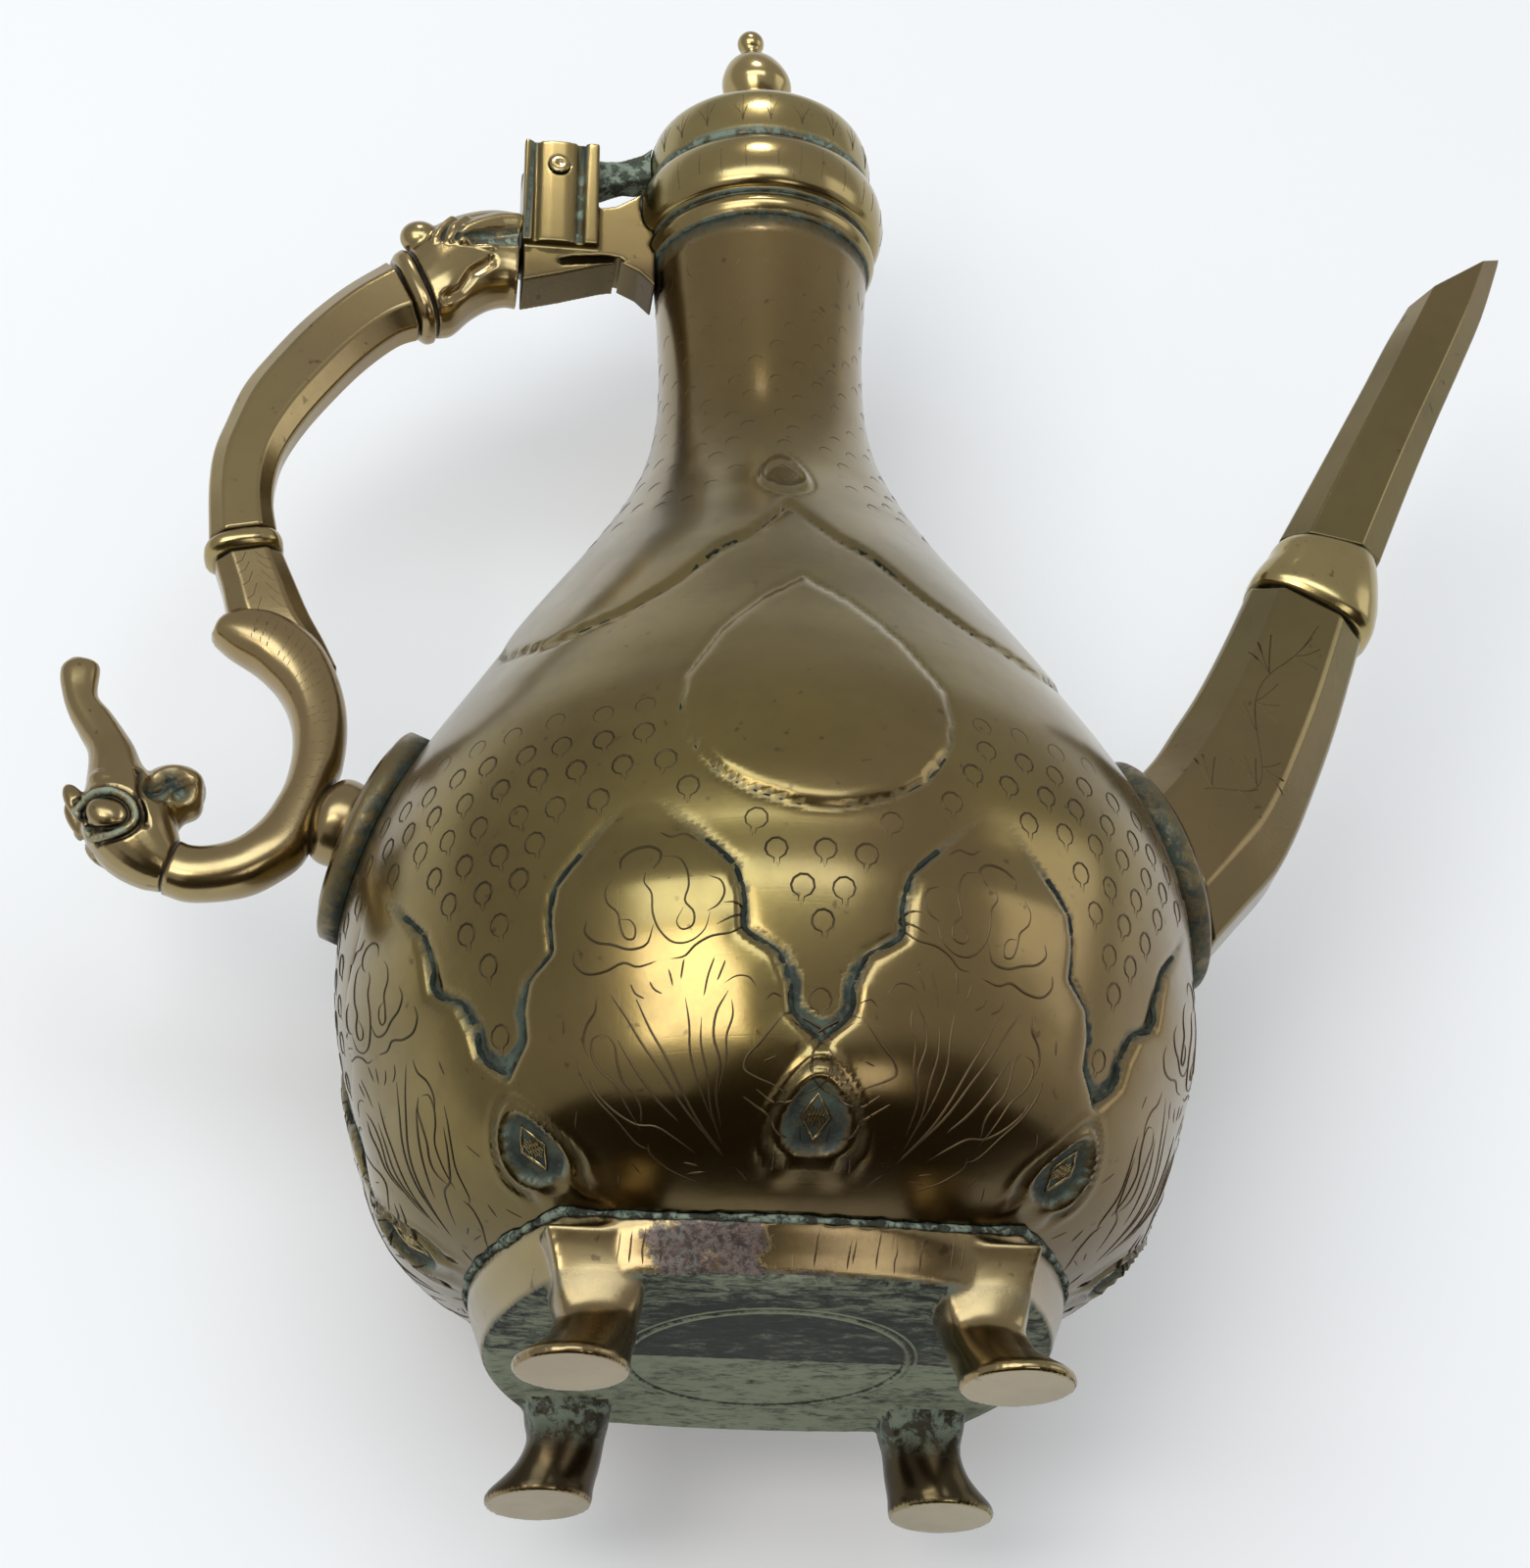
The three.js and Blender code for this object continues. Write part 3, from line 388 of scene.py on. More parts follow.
def dressMesh(mesh, name, material, nodes=(), bevel=0, bodyName="vessel"):
    # smooth shading, the finish, and the piece's place in the frame
    piece = newObject(name, mesh)
    mesh.materials.clear()
    mesh.materials.append(material)
    mesh.shade_smooth()
    if bevel:
        edge = piece.modifiers.new("Bevel", "BEVEL")
        edge.width = bevel * mm
        edge.segments = 3
        edge.limit_method = "ANGLE"
        edge.angle_limit = math.radians(24)
        edge.harden_normals = True
    if nodes:
        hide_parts(*nodes)
    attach(piece, bodyName)
    return piece


def spun(profile, steps, closed=True):
    # [radius, height] points turned about Z, merged where they meet the axis
    bm = bmesh.new()
    verts = [bm.verts.new((max(radius, 0), 0, height)) for radius, height in profile]
    edges = [bm.edges.new(pair) for pair in zip(verts, verts[1:])]
    if closed:
        edges.append(bm.edges.new((verts[-1], verts[0])))
    bmesh.ops.spin(bm, geom=verts + edges, cent=(0, 0, 0), axis=(0, 0, 1), angle=2 * math.pi,
                   steps=steps, use_merge=True, use_duplicate=False)
    bmesh.ops.remove_doubles(bm, verts=bm.verts, dist=1e-4)
    bmesh.ops.recalc_face_normals(bm, faces=bm.faces)
    return bm


def softProfile(profile, count):
    return [(max(point.x, 0), point.y) for point in smoothLine(profile, count)]


# Sections of the bars, as (along the depth, to the side)
octagon = [(1, 0.46), (0.52, 1), (-0.52, 1), (-1, 0.46), (-1, -0.46), (-0.52, -1), (0.52, -1), (1, -0.46)]


def roundSection(sides, power=1.0):
    # a circle, or with a power under 1 a fuller one
    turns = [2 * math.pi * i / sides for i in range(sides)]
    return [(math.copysign(abs(math.cos(t)) ** power, math.cos(t)),
             math.copysign(abs(math.sin(t)) ** power, math.sin(t))) for t in turns]


def placed(anchor, outward, stations):
    # stations given as (outward, up) pairs from an anchor, as places in the frame
    return [(anchor.x + outward * x, anchor.z + z, anchor.x + outward * otherX, anchor.z + otherZ, halfWidth)
            for x, z, otherX, otherZ, halfWidth in stations]


def addRings(bm, stations, count, shape, inset=0):
    # rings across the XZ plane, from one edge of a bar to its other edge
    rings = []
    for x, z, otherX, otherZ, halfWidth in smoothLine(stations, count):
        middle = Vector((x + otherX, 0, z + otherZ)) / 2
        across = Vector((x - otherX, 0, z - otherZ)) / 2
        across *= max(1 - inset / across.length, 0.05)
        side = Vector((0, max(halfWidth - inset, 0.1), 0))
        verts = [bm.verts.new(middle + across * along + side * out) for along, out in shape]
        rings.append([bm.edges.new((verts[i - 1], verts[i])) for i in range(len(verts))])
    return rings


def bridgeRings(bm, rings, looped=False):
    for first, second in zip(rings, rings[1:] + (rings[:1] if looped else [])):
        bmesh.ops.bridge_loops(bm, edges=first + second)
    if not looped:
        bmesh.ops.holes_fill(bm, edges=rings[0] + rings[-1], sides=0)


def addBar(bm, stations, count, shape, inset=0):
    bridgeRings(bm, addRings(bm, stations, count, shape, inset))


def barMesh(stations, count, shape, inset=0):
    bm = bmesh.new()
    addBar(bm, stations, count, shape, inset)
    bmesh.ops.recalc_face_normals(bm, faces=bm.faces)
    return bm


def tubeMesh(stations, count, shape, thickness):
    bm = bmesh.new()
    outside = addRings(bm, stations, count, shape)
    inside = addRings(bm, stations, count, shape, thickness)
    bridgeRings(bm, outside + inside[::-1], True)
    bmesh.ops.recalc_face_normals(bm, faces=bm.faces)
    return bm


def fused(bm, voxel, smoothing):
    # overlapping closed shells become one cast skin, with soft inner corners
    bmesh.ops.recalc_face_normals(bm, faces=bm.faces)
    rough = newObject("rough", newMesh("rough", bm))
    remesh = rough.modifiers.new("Remesh", "REMESH")
    remesh.mode = "VOXEL"
    remesh.voxel_size = voxel
    soften = rough.modifiers.new("Smooth", "SMOOTH")
    soften.factor = 0.5
    soften.iterations = smoothing
    result = bmesh.new()
    result.from_object(rough, bpy.context.evaluated_depsgraph_get())
    bpy.data.objects.remove(rough)
    result.normal_update()
    return result


def addBlob(bm, centre, radii, tilt=0):
    matrix = Matrix.Translation(centre) @ Matrix.Rotation(tilt, 4, "Y") @ Matrix.Diagonal((*radii, 1))
    bmesh.ops.create_icosphere(bm, subdivisions=4, radius=1, matrix=matrix)


def carve(bm, path, width, depth, marks):
    # press a groove, or with a negative depth raise a ridge, along a chain of points
    layers = markLayers(bm, *marks)
    low = Vector([min(point[i] for point in path) - width for i in range(3)])
    high = Vector([max(point[i] for point in path) + width for i in range(3)])
    for vert in bm.verts:
        if not all(a < value < b for value, a, b in zip(vert.co, low, high)):
            continue
        gap = 1e9
        for start, end in zip(path, path[1:]):
            run = end - start
            share = min(max((vert.co - start).dot(run) / run.length_squared, 0), 1)
            gap = min(gap, (vert.co - start - share * run).length)
        if gap < width:
            fall = (1 - (gap / width) ** 2) ** 2
            vert.co -= vert.normal * depth * fall
            for layer in layers:
                vert[layer] = max(vert[layer], fall)


def carveSides(bm, line, width, depth, marks):
    # the same along an (x, z) line thrown from the front and from the back onto the skin
    markLayers(bm, *marks)
    for side in (-1, 1):
        tree = BVHTree.FromBMesh(bm)
        hits = [tree.ray_cast(Vector((x, side * 90, z)), Vector((0, -side, 0)))[0] for x, z in line]
        carve(bm, [hit for hit in hits if hit], width, depth, marks)
        bm.normal_update()


def markLayers(bm, *names):
    return [bm.verts.layers.float.get(name) or bm.verts.layers.float.new(name) for name in names]


def copyNode(name):
    # a merged copy of a frame node, in millimetres
    bm = bmesh.new()
    bm.from_mesh(frame["nodes"][name].data)
    bmesh.ops.scale(bm, vec=(1 / mm,) * 3, verts=bm.verts)
    bmesh.ops.remove_doubles(bm, verts=bm.verts, dist=1e-3)
    return bm


def makeStrokes(name, strokes, material, roundness=0, bloom=0.0, bodyName="vessel"):
    # engraved or encrusted lines as thin closed cords, each a chain of (point, radius), looped or not
    curve = bpy.data.curves.new(name, "CURVE")
    curve.dimensions = "3D"
    curve.bevel_depth = mm
    curve.bevel_resolution = roundness
    curve.use_fill_caps = True
    for points, looped in strokes:
        spline = curve.splines.new("POLY")
        spline.points.add(len(points) - 1)
        spline.use_cyclic_u = looped
        for place, (point, radius) in zip(spline.points, points):
            place.co = (*(point * mm), 1)
            place.radius = radius
    drawn = newObject(name, curve)
    mesh = bpy.data.meshes.new_from_object(drawn.evaluated_get(bpy.context.evaluated_depsgraph_get()))
    bpy.data.objects.remove(drawn)
    if bloom:
        layer = mesh.attributes.new("bloom", "FLOAT", "POINT")
        layer.data.foreach_set("value", [bloom] * len(mesh.vertices))
    print("strokes:", name, len(strokes), "lines,", len(mesh.polygons), "faces")
    return dressMesh(mesh, name, material, bodyName=bodyName)


def engrave(name, strokes, bodyName="vessel"):
    return makeStrokes(name, strokes, engravedDark, bodyName=bodyName)


def cord(points, radius):
    return [(point, radius) for point in points], False


def projected(piece, lines, radius):
    # engraved lines given as (x, z), thrown onto a piece from the front and from the back and sunk a little
    corners = [vert.co / mm for vert in piece.data.vertices]
    tree = BVHTree.FromPolygons(corners, [face.vertices for face in piece.data.polygons])
    strokes = []
    for line in lines:
        for side in (-1, 1):
            hits = [tree.ray_cast(Vector((x, side * 90, z)), Vector((0, -side, 0))) for x, z in line]
            places = [place - normal * 0.08 for place, normal, _, _ in hits if place]
            if len(places) > 1:
                strokes.append(cord(places, radius))
    return strokes


def alongBar(stations, share, across):
    # a point beside a bar's middle line, share along it and across from -1 to 1, as (x, z)
    place = share * (len(stations) - 1)
    k = min(int(place), len(stations) - 2)
    x, z, otherX, otherZ, _ = (a + (b - a) * (place - k) for a, b in zip(stations[k], stations[k + 1]))
    return (x + otherX) / 2 + (x - otherX) / 2 * across, (z + otherZ) / 2 + (z - otherZ) / 2 * across


# The body's outline, and the relief on it

bodyLow, bodyHigh = (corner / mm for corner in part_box("body_shell"))
body = {
    "bellyRadius": bodyHigh.y, "bellyHeight": 68, "neckRadius": 19.7, "neckHeight": 198.5,
    "mouthRadius": 21.1, "mouthHeight": bodyHigh.z, "floorHeight": bodyLow.z, "coreHole": 20.4,
    "bore": 18.9, "wall": 2.2,
    # shares of the way out from the core hole, and up to the belly
    "under": [(0, 0), (0.412, 0.054), (0.584, 0.127), (0.703, 0.216), (0.797, 0.311), (0.883, 0.501),
              (0.976, 0.786), (1, 1)],
    # shares of the way in to the neck, and up to it
    "over": [(0.013, 0.08), (0.074, 0.172), (0.186, 0.264), (0.317, 0.356), (0.449, 0.448), (0.587, 0.54),
             (0.728, 0.632), (0.852, 0.724), (0.946, 0.816), (0.991, 0.908), (1, 1)],
    "flare": (20.2, 210.5), "columns": 480,
    # distance between rows, up to each height
    "rowSpacing": [(14, 2.6), (36, 0.68), (76, 0.78), (126, 1.25), (168, 1.5), (999, 3.6)],
}


def bodyLine():
    out = body["bellyRadius"] - body["coreHole"]
    up = body["bellyHeight"] - body["floorHeight"]
    points = [(body["coreHole"] + a * out, body["floorHeight"] + b * up) for a, b in body["under"]]
    back = body["bellyRadius"] - body["neckRadius"]
    up = body["neckHeight"] - body["bellyHeight"]
    points += [(body["bellyRadius"] - a * back, body["bellyHeight"] + b * up) for a, b in body["over"]]
    points += [body["flare"], (body["mouthRadius"], body["mouthHeight"])]
    return smoothLine(points, 800)


outline = bodyLine()
runs = [0.0]
for lowerPoint, upperPoint in zip(outline, outline[1:]):
    runs.append(runs[-1] + (upperPoint - lowerPoint).length)
heights = [point.y for point in outline]


def findStretch(values, wanted):
    low, high = 0, len(values) - 1
    while high - low > 1:
        half = (low + high) // 2
        low, high = (half, high) if values[half] <= wanted else (low, half)
    return low, min(max((wanted - values[low]) / (values[low + 1] - values[low]), 0), 1)


def outlineAt(run):
    # radius, height and outward direction at a run along the outline from the core hole
    i, share = findStretch(runs, run)
    point = outline[i].lerp(outline[i + 1], share)
    way = (outline[min(i + 2, len(outline) - 1)] - outline[max(i - 1, 0)]).normalized()
    return point.x, point.y, Vector((way.y, -way.x))


def runAt(height):
    i, share = findStretch(heights, height)
    return runs[i] + share * (runs[i + 1] - runs[i])


def radiusAt(height):
    i, share = findStretch(heights, height)
    return outline[i].x + share * (outline[i + 1].x - outline[i].x)


relief = {
    # half outlines, as (degrees from the motif's middle, height)
    "pendant": [(0, 28.8), (3.8, 33.1), (4.3, 37.7), (5.8, 41.9), (9.8, 45.3), (9.9, 50), (11, 55.4),
                (15.7, 61.7), (20, 67.3), (22.5, 70)],
    "medallion": [(0, 66), (2.8, 66.2), (8.4, 68.5), (13.1, 72.5), (16.8, 79.7), (18.2, 87.5), (17.5, 94.3),
                  (14, 104.7), (8, 114), (0, 121.3)],
    "ogee": [(0, 146), (10.1, 134.7), (16.2, 130.7), (24.2, 120.9), (31.9, 114.8), (43, 111.4), (45, 111)],
    "archRise": 1.9, "archRound": 10, "archEdge": 1.5, "medallionRise": 1.0, "medallionRound": 2.2,
    "ogeeRise": 0.6, "ogeeRound": 2.4,
    "dropHeight": 19.2, "dropHalfWidth": 5.5, "dropHalfHeight": 6.8,
    "topDropHeight": 156, "topDropHalfWidth": 3.9, "topDropHalfHeight": 6.2,
}
# degrees from one motif to the next
periods = {"pendant": 45, "medallion": 180, "ogee": 90}
edges = {key: sorted((height, angle) for angle, height in relief[key]) for key in periods}
lines = {key: [(angle, runAt(height)) for angle, height in relief[key]] for key in periods}
dropRun = runAt(relief["dropHeight"])
topDropRun = runAt(relief["topDropHeight"])


def fold(angle, period):
    # degrees from the nearest motif of that period
    return abs((angle + period / 2) % period - period / 2)


def motifGap(key, angle, run, perDegree):
    # how far along the skin a motif's edge is
    return lineGap(angle * perDegree, run, [(x * perDegree, y) for x, y in lines[key]])


def dropGap(across, up, halfWidth, halfHeight):
    # about how far outside a drop's outline a point lies, its narrow end up
    lean = 1 - 0.28 * min(max(up / halfHeight, -1.3), 1.3)
    share = math.sqrt((across / (halfWidth * lean)) ** 2 + (up / halfHeight) ** 2)
    return (share - 1) * (halfWidth + halfHeight) / 2


def roundedStep(gap, reach):
    share = min(gap / reach, 1)
    return math.sqrt(1 - (1 - share) ** 2)


def bellAt(gap, width):
    return math.exp(-(gap / width) ** 2)


def reliefAt(angle, height):
    # rise over the turned outline, how much crust and pale bloom lies there, and how much painted shade
    # darkens it
    run = runAt(height)
    perDegree = math.radians(radiusAt(height))
    rise, crust, bloom, grime = 0.0, 0.0, 0.0, 0.0
    if 6 < height < 76:
        a = fold(angle, periods["pendant"])
        gap = motifGap("pendant", a, run, perDegree)
        onArch = height < relief["pendant"][0][1] or a > tableAt(edges["pendant"], height)
        if onArch:
            swell = ramp(9, 22, height) * (1 - ramp(44, 69, height))
            step = 0.55 * roundedStep(gap, relief["archEdge"]) + 0.45 * roundedStep(gap, relief["archRound"])
            rise += relief["archRise"] * swell * step
        groove = (1 - ramp(56, 68, height)) * bellAt(gap, 0.7)
        rise -= 0.5 * groove * ramp(24, 27, height)
        crust += 0.75 * (1 - ramp(56, 70, height)) * bellAt(gap, 0.55) * ramp(26, 29, height)
        if not onArch:
            crust += 0.9 * (1 - ramp(38, 45, height)) * (1 - ramp(1.3, 2.2, gap))
            crust += 0.9 * (1 - ramp(31, 33, height))
            bloom += 0.2 * (1 - ramp(31, 33, height))
        drop = dropGap(a * perDegree, run - dropRun, relief["dropHalfWidth"], relief["dropHalfHeight"])
        if drop < 4.5:
            front = 1 - ramp(20, 30, abs(angle))
            rise += 0.7 * bellAt(drop - 0.3, 0.75) - 1.0 * (1 - ramp(-1.6, -0.3, drop))
            rise += (0.25 + 0.35 * front) * bellAt(drop - 2.7, 0.7) - 0.3 * bellAt(drop - 1.6, 0.6)
            crust += 0.9 * (1 - ramp(-1.0, -0.2, drop)) + 0.3 * bellAt(drop - 1.6, 0.5)
            bloom += 0.55 * bellAt(drop + 0.7, 0.35) * (1 - 0.8 * front)
        # painted shade: the lower belly is darkened, most towards the bottom
        grime += 0.5 * (1 - ramp(12, 32, height))
    aside = fold(angle, periods["medallion"])
    lower = relief["medallionRise"] * (1 - ramp(24, 50, aside)) * ramp(52, 64, height)
    lower *= (1 - 0.6 * ramp(84, 116, height)) * (1 - ramp(116, 136, height))
    if 60 < height < 128 and aside < 24:
        gap = motifGap("medallion", aside, run, perDegree)
        if 66 < height < 121.3 and aside < tableAt(edges["medallion"], height):
            lower *= 1 - roundedStep(gap, relief["medallionRound"])
        else:
            rise -= 0.22 * bellAt(gap, 0.9)
            crust += 0.4 * bellAt(gap, 0.6) * (1 - ramp(84, 96, height))
    rise -= lower
    if 104 < height < 176:
        a = fold(angle, periods["ogee"])
        gap = motifGap("ogee", a, run, perDegree)
        if height > tableAt(relief["ogee"], a):
            rise += relief["ogeeRise"] * roundedStep(gap, relief["ogeeRound"]) * (1 - ramp(4, 24, gap))
        else:
            rise -= 0.25 * bellAt(gap, 0.9)
    if 146 < height < 166 and aside < 14:
        drop = dropGap(aside * perDegree, run - topDropRun,
                       relief["topDropHalfWidth"], relief["topDropHalfHeight"])
        rise += 0.4 * bellAt(drop, 0.6) - 0.2 * bellAt(drop - 1.3, 0.6)
    crust += 0.7 * bellAt(height - body["mouthHeight"], 0.8)
    return rise, min(crust, 1), min(bloom, 1), min(grime, 1)


def bodyPlace(angle, height, lift=0.0):
    # a point on the finished body, its angle in degrees from the front towards the spout
    radius, _, outward = outlineAt(runAt(height))
    rise = reliefAt(angle, height)[0] + lift
    radius += rise * outward.x
    turn = math.radians(angle)
    return Vector((radius * math.sin(turn), -radius * math.cos(turn), height + rise * outward.y))


def snapped(angle, height):
    # slides a column of points onto the motif's edge that it is nearest to
    step = 360 / body["columns"]
    for key, low, high in (("pendant", 28.8, 68), ("medallion", 68, 121), ("ogee", 122, 146)):
        if low < height < high:
            period = periods[key]
            edge = tableAt(edges[key], height)
            near = round(edge / step) * step
            a = (angle + period / 2) % period - period / 2
            moved = (edge - near) * max(1 - abs(abs(a) - near) / (2 * step), 0)
            return angle + math.copysign(moved, a)
    return angle


def makeBody():
    rows = []
    run = 0.0
    while run < runs[-1] - 0.6:
        radius, height, _ = outlineAt(run)
        rows.append((radius, height))
        run += next(spacing for top, spacing in body["rowSpacing"] if height <= top)
    rows.append((body["mouthRadius"], body["mouthHeight"]))
    inner = [(body["bore"], body["mouthHeight"])]
    for i in range(1, 20):
        radius, height, outward = outlineAt(runs[-1] * (1 - i / 20))
        inner.append((radius - body["wall"] * outward.x, height - body["wall"] * outward.y))
    inner.append((body["coreHole"], body["floorHeight"] + body["wall"]))
    bm = spun(rows + inner, body["columns"])
    crustLayer, bloomLayer, shadeAndGrimeLayer = markLayers(bm, "crust", "bloom", "grime")
    for vert in bm.verts:
        radius = math.hypot(vert.co.x, vert.co.y)
        height = vert.co.z
        if height < 6 or radiusAt(height) - radius > 0.3:
            continue
        angle = snapped(math.degrees(math.atan2(vert.co.x, -vert.co.y)), height)
        vert.co = bodyPlace(angle, height)
        _, vert[crustLayer], vert[bloomLayer], vert[shadeAndGrimeLayer] = reliefAt(angle, height)
    print("body:", len(bm.faces), "faces")
    return finishPiece(bm, "body_skin", bodyBrass, ["body_shell"])


makeBody()


# Engraving and crust on the body


def bodyStroke(points, radius, looped=False, lift=-0.1, samples=0):
    # points as (angle, height), thinner towards the ends unless looped
    places = [bodyPlace(a, h, lift) for a, h in (smoothLine(points, samples) if samples else points)]
    last = len(places) - 1
    return [(place, radius * (1 if looped else 1 - 0.5 * abs(2 * i / last - 1) ** 3))
            for i, place in enumerate(places)], looped


def offsetPoints(angle, height, points, scale=1.0, turn=0.0):
    # small drawings in millimetres, (right, up), around a place on the body
    perDegree = math.radians(radiusAt(height))
    lean = outlineAt(runAt(height))[2].x
    placedPoints = []
    for x, y in points:
        across = x * math.cos(turn) - y * math.sin(turn)
        up = x * math.sin(turn) + y * math.cos(turn)
        placedPoints.append((angle + across * scale / perDegree, height + up * scale * max(lean, 0.2)))
    return placedPoints


def arcPoints(centreX, centreY, radius, start, end, count):
    # degrees, anticlockwise from the right
    turns = [math.radians(start + (end - start) * i / count) for i in range(count + 1)]
    return [(centreX + radius * math.cos(t), centreY + radius * math.sin(t)) for t in turns]


bud = {
    "ring": [(-0.5, -2.4), (-0.5, -1.5), (-1.5, -0.9), (-1.9, 0.1), (-1.6, 1.2), (-0.7, 2), (0.4, 2.1),
             (1.4, 1.4),
             (1.75, 0.2), (1.3, -0.9), (0.4, -1.5), (0.3, -2.6)],
    "stem": [(-0.1, -2.2), (0.1, -3)],
    "spacing": 7.6, "rowSpacing": 5.9, "width": 0.27,
}


def inField(angle, height):
    # whether a bud fits there, between the arches and the ogee line
    perDegree = math.radians(radiusAt(height))
    run = runAt(height)
    margin = 3.4
    a = fold(angle, periods["pendant"])
    if height < 71 and (height < 34 or a > tableAt(edges["pendant"], height) - margin / perDegree):
        return False
    if height < 66 and motifGap("pendant", a, run, perDegree) < margin:
        return False
    a = fold(angle, periods["medallion"])
    inMedallion = 66 < height < 121 and a < tableAt(edges["medallion"], height)
    if inMedallion or motifGap("medallion", a, run, perDegree) < margin:
        return False
    if math.hypot(fold(angle - 90, 180) * perDegree, run - runAt(94)) < 26:
        return False
    a = fold(angle, periods["ogee"])
    return height < tableAt(relief["ogee"], a) and motifGap("ogee", a, run, perDegree) > margin


def makeBuds():
    strokes = []
    count = 0
    run = runAt(35)
    row = 0
    while run < runAt(145):
        _, height, _ = outlineAt(run)
        columns = round(2 * math.pi * radiusAt(height) / bud["spacing"] / 8) * 8
        for i in range(columns):
            angle = (i + 0.5 * (row % 2)) * 360 / columns + random.uniform(-0.4, 0.4)
            up = height + random.uniform(-0.4, 0.4)
            turn = random.uniform(-0.25, 0.25)
            if inField((angle + 180) % 360 - 180, up):
                fade = 1 - 0.45 * ramp(76, 96, up)
                ring = offsetPoints(angle, up, bud["ring"], 1, turn)
                stem = offsetPoints(angle, up, bud["stem"], 1, turn)
                lift = -0.1 - 0.06 * ramp(76, 96, up)
                strokes += [bodyStroke(part, bud["width"] * fade, lift=lift) for part in (ring, stem)]
                count += 1
        run += bud["rowSpacing"]
        row += 1
    print("buds:", count)
    return strokes


archSheet = {
    # lines seen on the left front arch, on a sheet whose unit is 0.7 mm, x from its left, y down from its top
    "origin": (23, 55.5), "unit": 0.7,
    "cloud": [
        [(18.5, 15), (18.5, 12.5), (21, 10.5), (25, 10), (27.6, 11.6), (27.6, 13.8), (26, 15.8)],
        [(28.2, 12.8), (31.8, 13.6), (33.6, 16.5), (34, 20.5), (33, 24), (34.8, 26.6), (34.3, 29.6),
         (32, 30.3),
         (30.9, 28.6), (32.6, 25.4)],
        [(24.4, 16.5), (24, 18.6), (25.6, 21.4), (25.7, 26), (27, 30), (29.8, 33), (33.2, 33.2),
         (36.8, 30.8),
         (38.4, 26.8)],
        [(16.5, 17), (15, 19.5), (15.4, 22.4), (17.7, 25), (18.2, 28.2), (19.3, 31), (21, 31.3), (21.6, 29),
         (20.4, 27), (18.4, 26.6)],
        [(10.4, 25.6), (9.8, 28.2), (12.2, 30.8), (16, 32), (20, 33.6), (23.8, 33), (25.7, 28.6)],
        [(7, 31.8), (6.8, 34.6), (9.4, 37.4), (14, 37.6), (18.4, 36.3), (21.4, 37.6), (25.8, 36.9)],
        [(29, 36.7), (32, 36.3), (34.6, 34), (38.2, 32.2), (43, 31.4), (46, 29.3)],
        [(38.5, 18.5), (41, 19.6), (41.8, 22.4), (40.2, 25.2), (37.8, 26.6)],
        [(41.4, 24.8), (44, 24.8), (46.2, 26.9), (43, 28.1), (39.6, 29.6)],
        [(27.4, 6.5), (30, 8), (33, 7.5), (36, 9.5)],
    ],
    "reed": [
        [(14.5, 42.5), (18, 48.5), (21, 54.5), (24.5, 60.5), (27.5, 67), (30.5, 73.5), (34, 81.5)],
        [(20.5, 44.5), (23, 51.5), (26, 58), (28.8, 66), (31.5, 74.5), (34.2, 81)],
        [(31.5, 45.5), (31.8, 51.5), (31.4, 58), (32.6, 65.5), (34.2, 74)],
        [(34.6, 50), (34, 56), (34.6, 62), (34, 70), (34.6, 78)],
        [(41, 44.5), (38, 49), (36.8, 54.5), (37.6, 60), (35.8, 66), (35.4, 74)],
        [(41.5, 46.5), (41.4, 50), (39.6, 54.5), (39, 59.5), (36.2, 66)],
        [(12.2, 51.4), (9.8, 52), (9.2, 55), (10.6, 58.6), (13.6, 62), (15.2, 66), (16.6, 70), (17.6, 73)],
        [(13, 51.5), (14.8, 54), (15, 57.6), (15.8, 61.6), (18, 65), (18.8, 68), (18, 71.5)],
        [(15.5, 53), (18, 58), (20.4, 62.6), (23, 67), (26.4, 72)],
        [(8, 60.5), (10, 64.5), (13.4, 68.6), (17, 71.6), (21, 72.6), (24.6, 76), (28.4, 80.4)],
        [(11.5, 42.5), (11, 46), (8.6, 49), (7.6, 52.5), (8.6, 56)],
        [(5.6, 56), (6.6, 60), (9, 64.6), (12.6, 69.8), (16, 76.5), (18.6, 78.2)],
        [(52.4, 49.8), (50, 52.4), (46.6, 56), (43.4, 59), (42.6, 61.4), (45, 63.2), (48.6, 64.8),
         (52, 67.2)],
        [(52.4, 49.8), (55, 49.5), (58, 51), (61, 53), (63, 55.6)],
        [(54, 51), (57.6, 54), (60.6, 56), (62, 58.6), (60.6, 63), (57, 66), (52, 67.2)],
        [(44.6, 65.6), (47.6, 68.2), (51.4, 68), (54, 66.8)],
        [(41.4, 67), (44, 69.4), (46.4, 71.6), (47, 75), (49.2, 77.6)],
        [(18.4, 76.5), (18.2, 79), (21, 83.6), (25, 87), (27.4, 89)],
    ],
    "grass": [
        [(19.5, 41), (20.5, 43.5), (22.6, 45)], [(23.8, 41), (24.8, 43), (26.6, 44.3)],
        [(28.3, 38.6), (29, 43)],
        [(32, 36.6), (30.8, 41.6)], [(38.8, 36.5), (36.8, 41), (35.4, 46)], [(41, 37.5), (38.6, 42.5)],
        [(40, 43), (43, 41.3), (45.6, 41.6), (47.2, 44.2)], [(48.6, 47), (50.5, 45.2), (52.6, 46.2)],
        [(47, 60), (50, 58.8)], [(36, 84.5), (38, 88.6)], [(46, 80.5), (43.6, 86.5)],
        [(24.6, 85.6), (29.5, 85.4)],
        [(25, 82.4), (28, 83.6)], [(4, 66), (2.4, 70)], [(52.6, 74), (51.8, 79)], [(9.6, 83), (8.2, 87)],
        [(13, 80), (14.6, 84)], [(3.4, 46), (2.8, 50)], [(57.6, 70), (58.6, 74)],
    ],
}


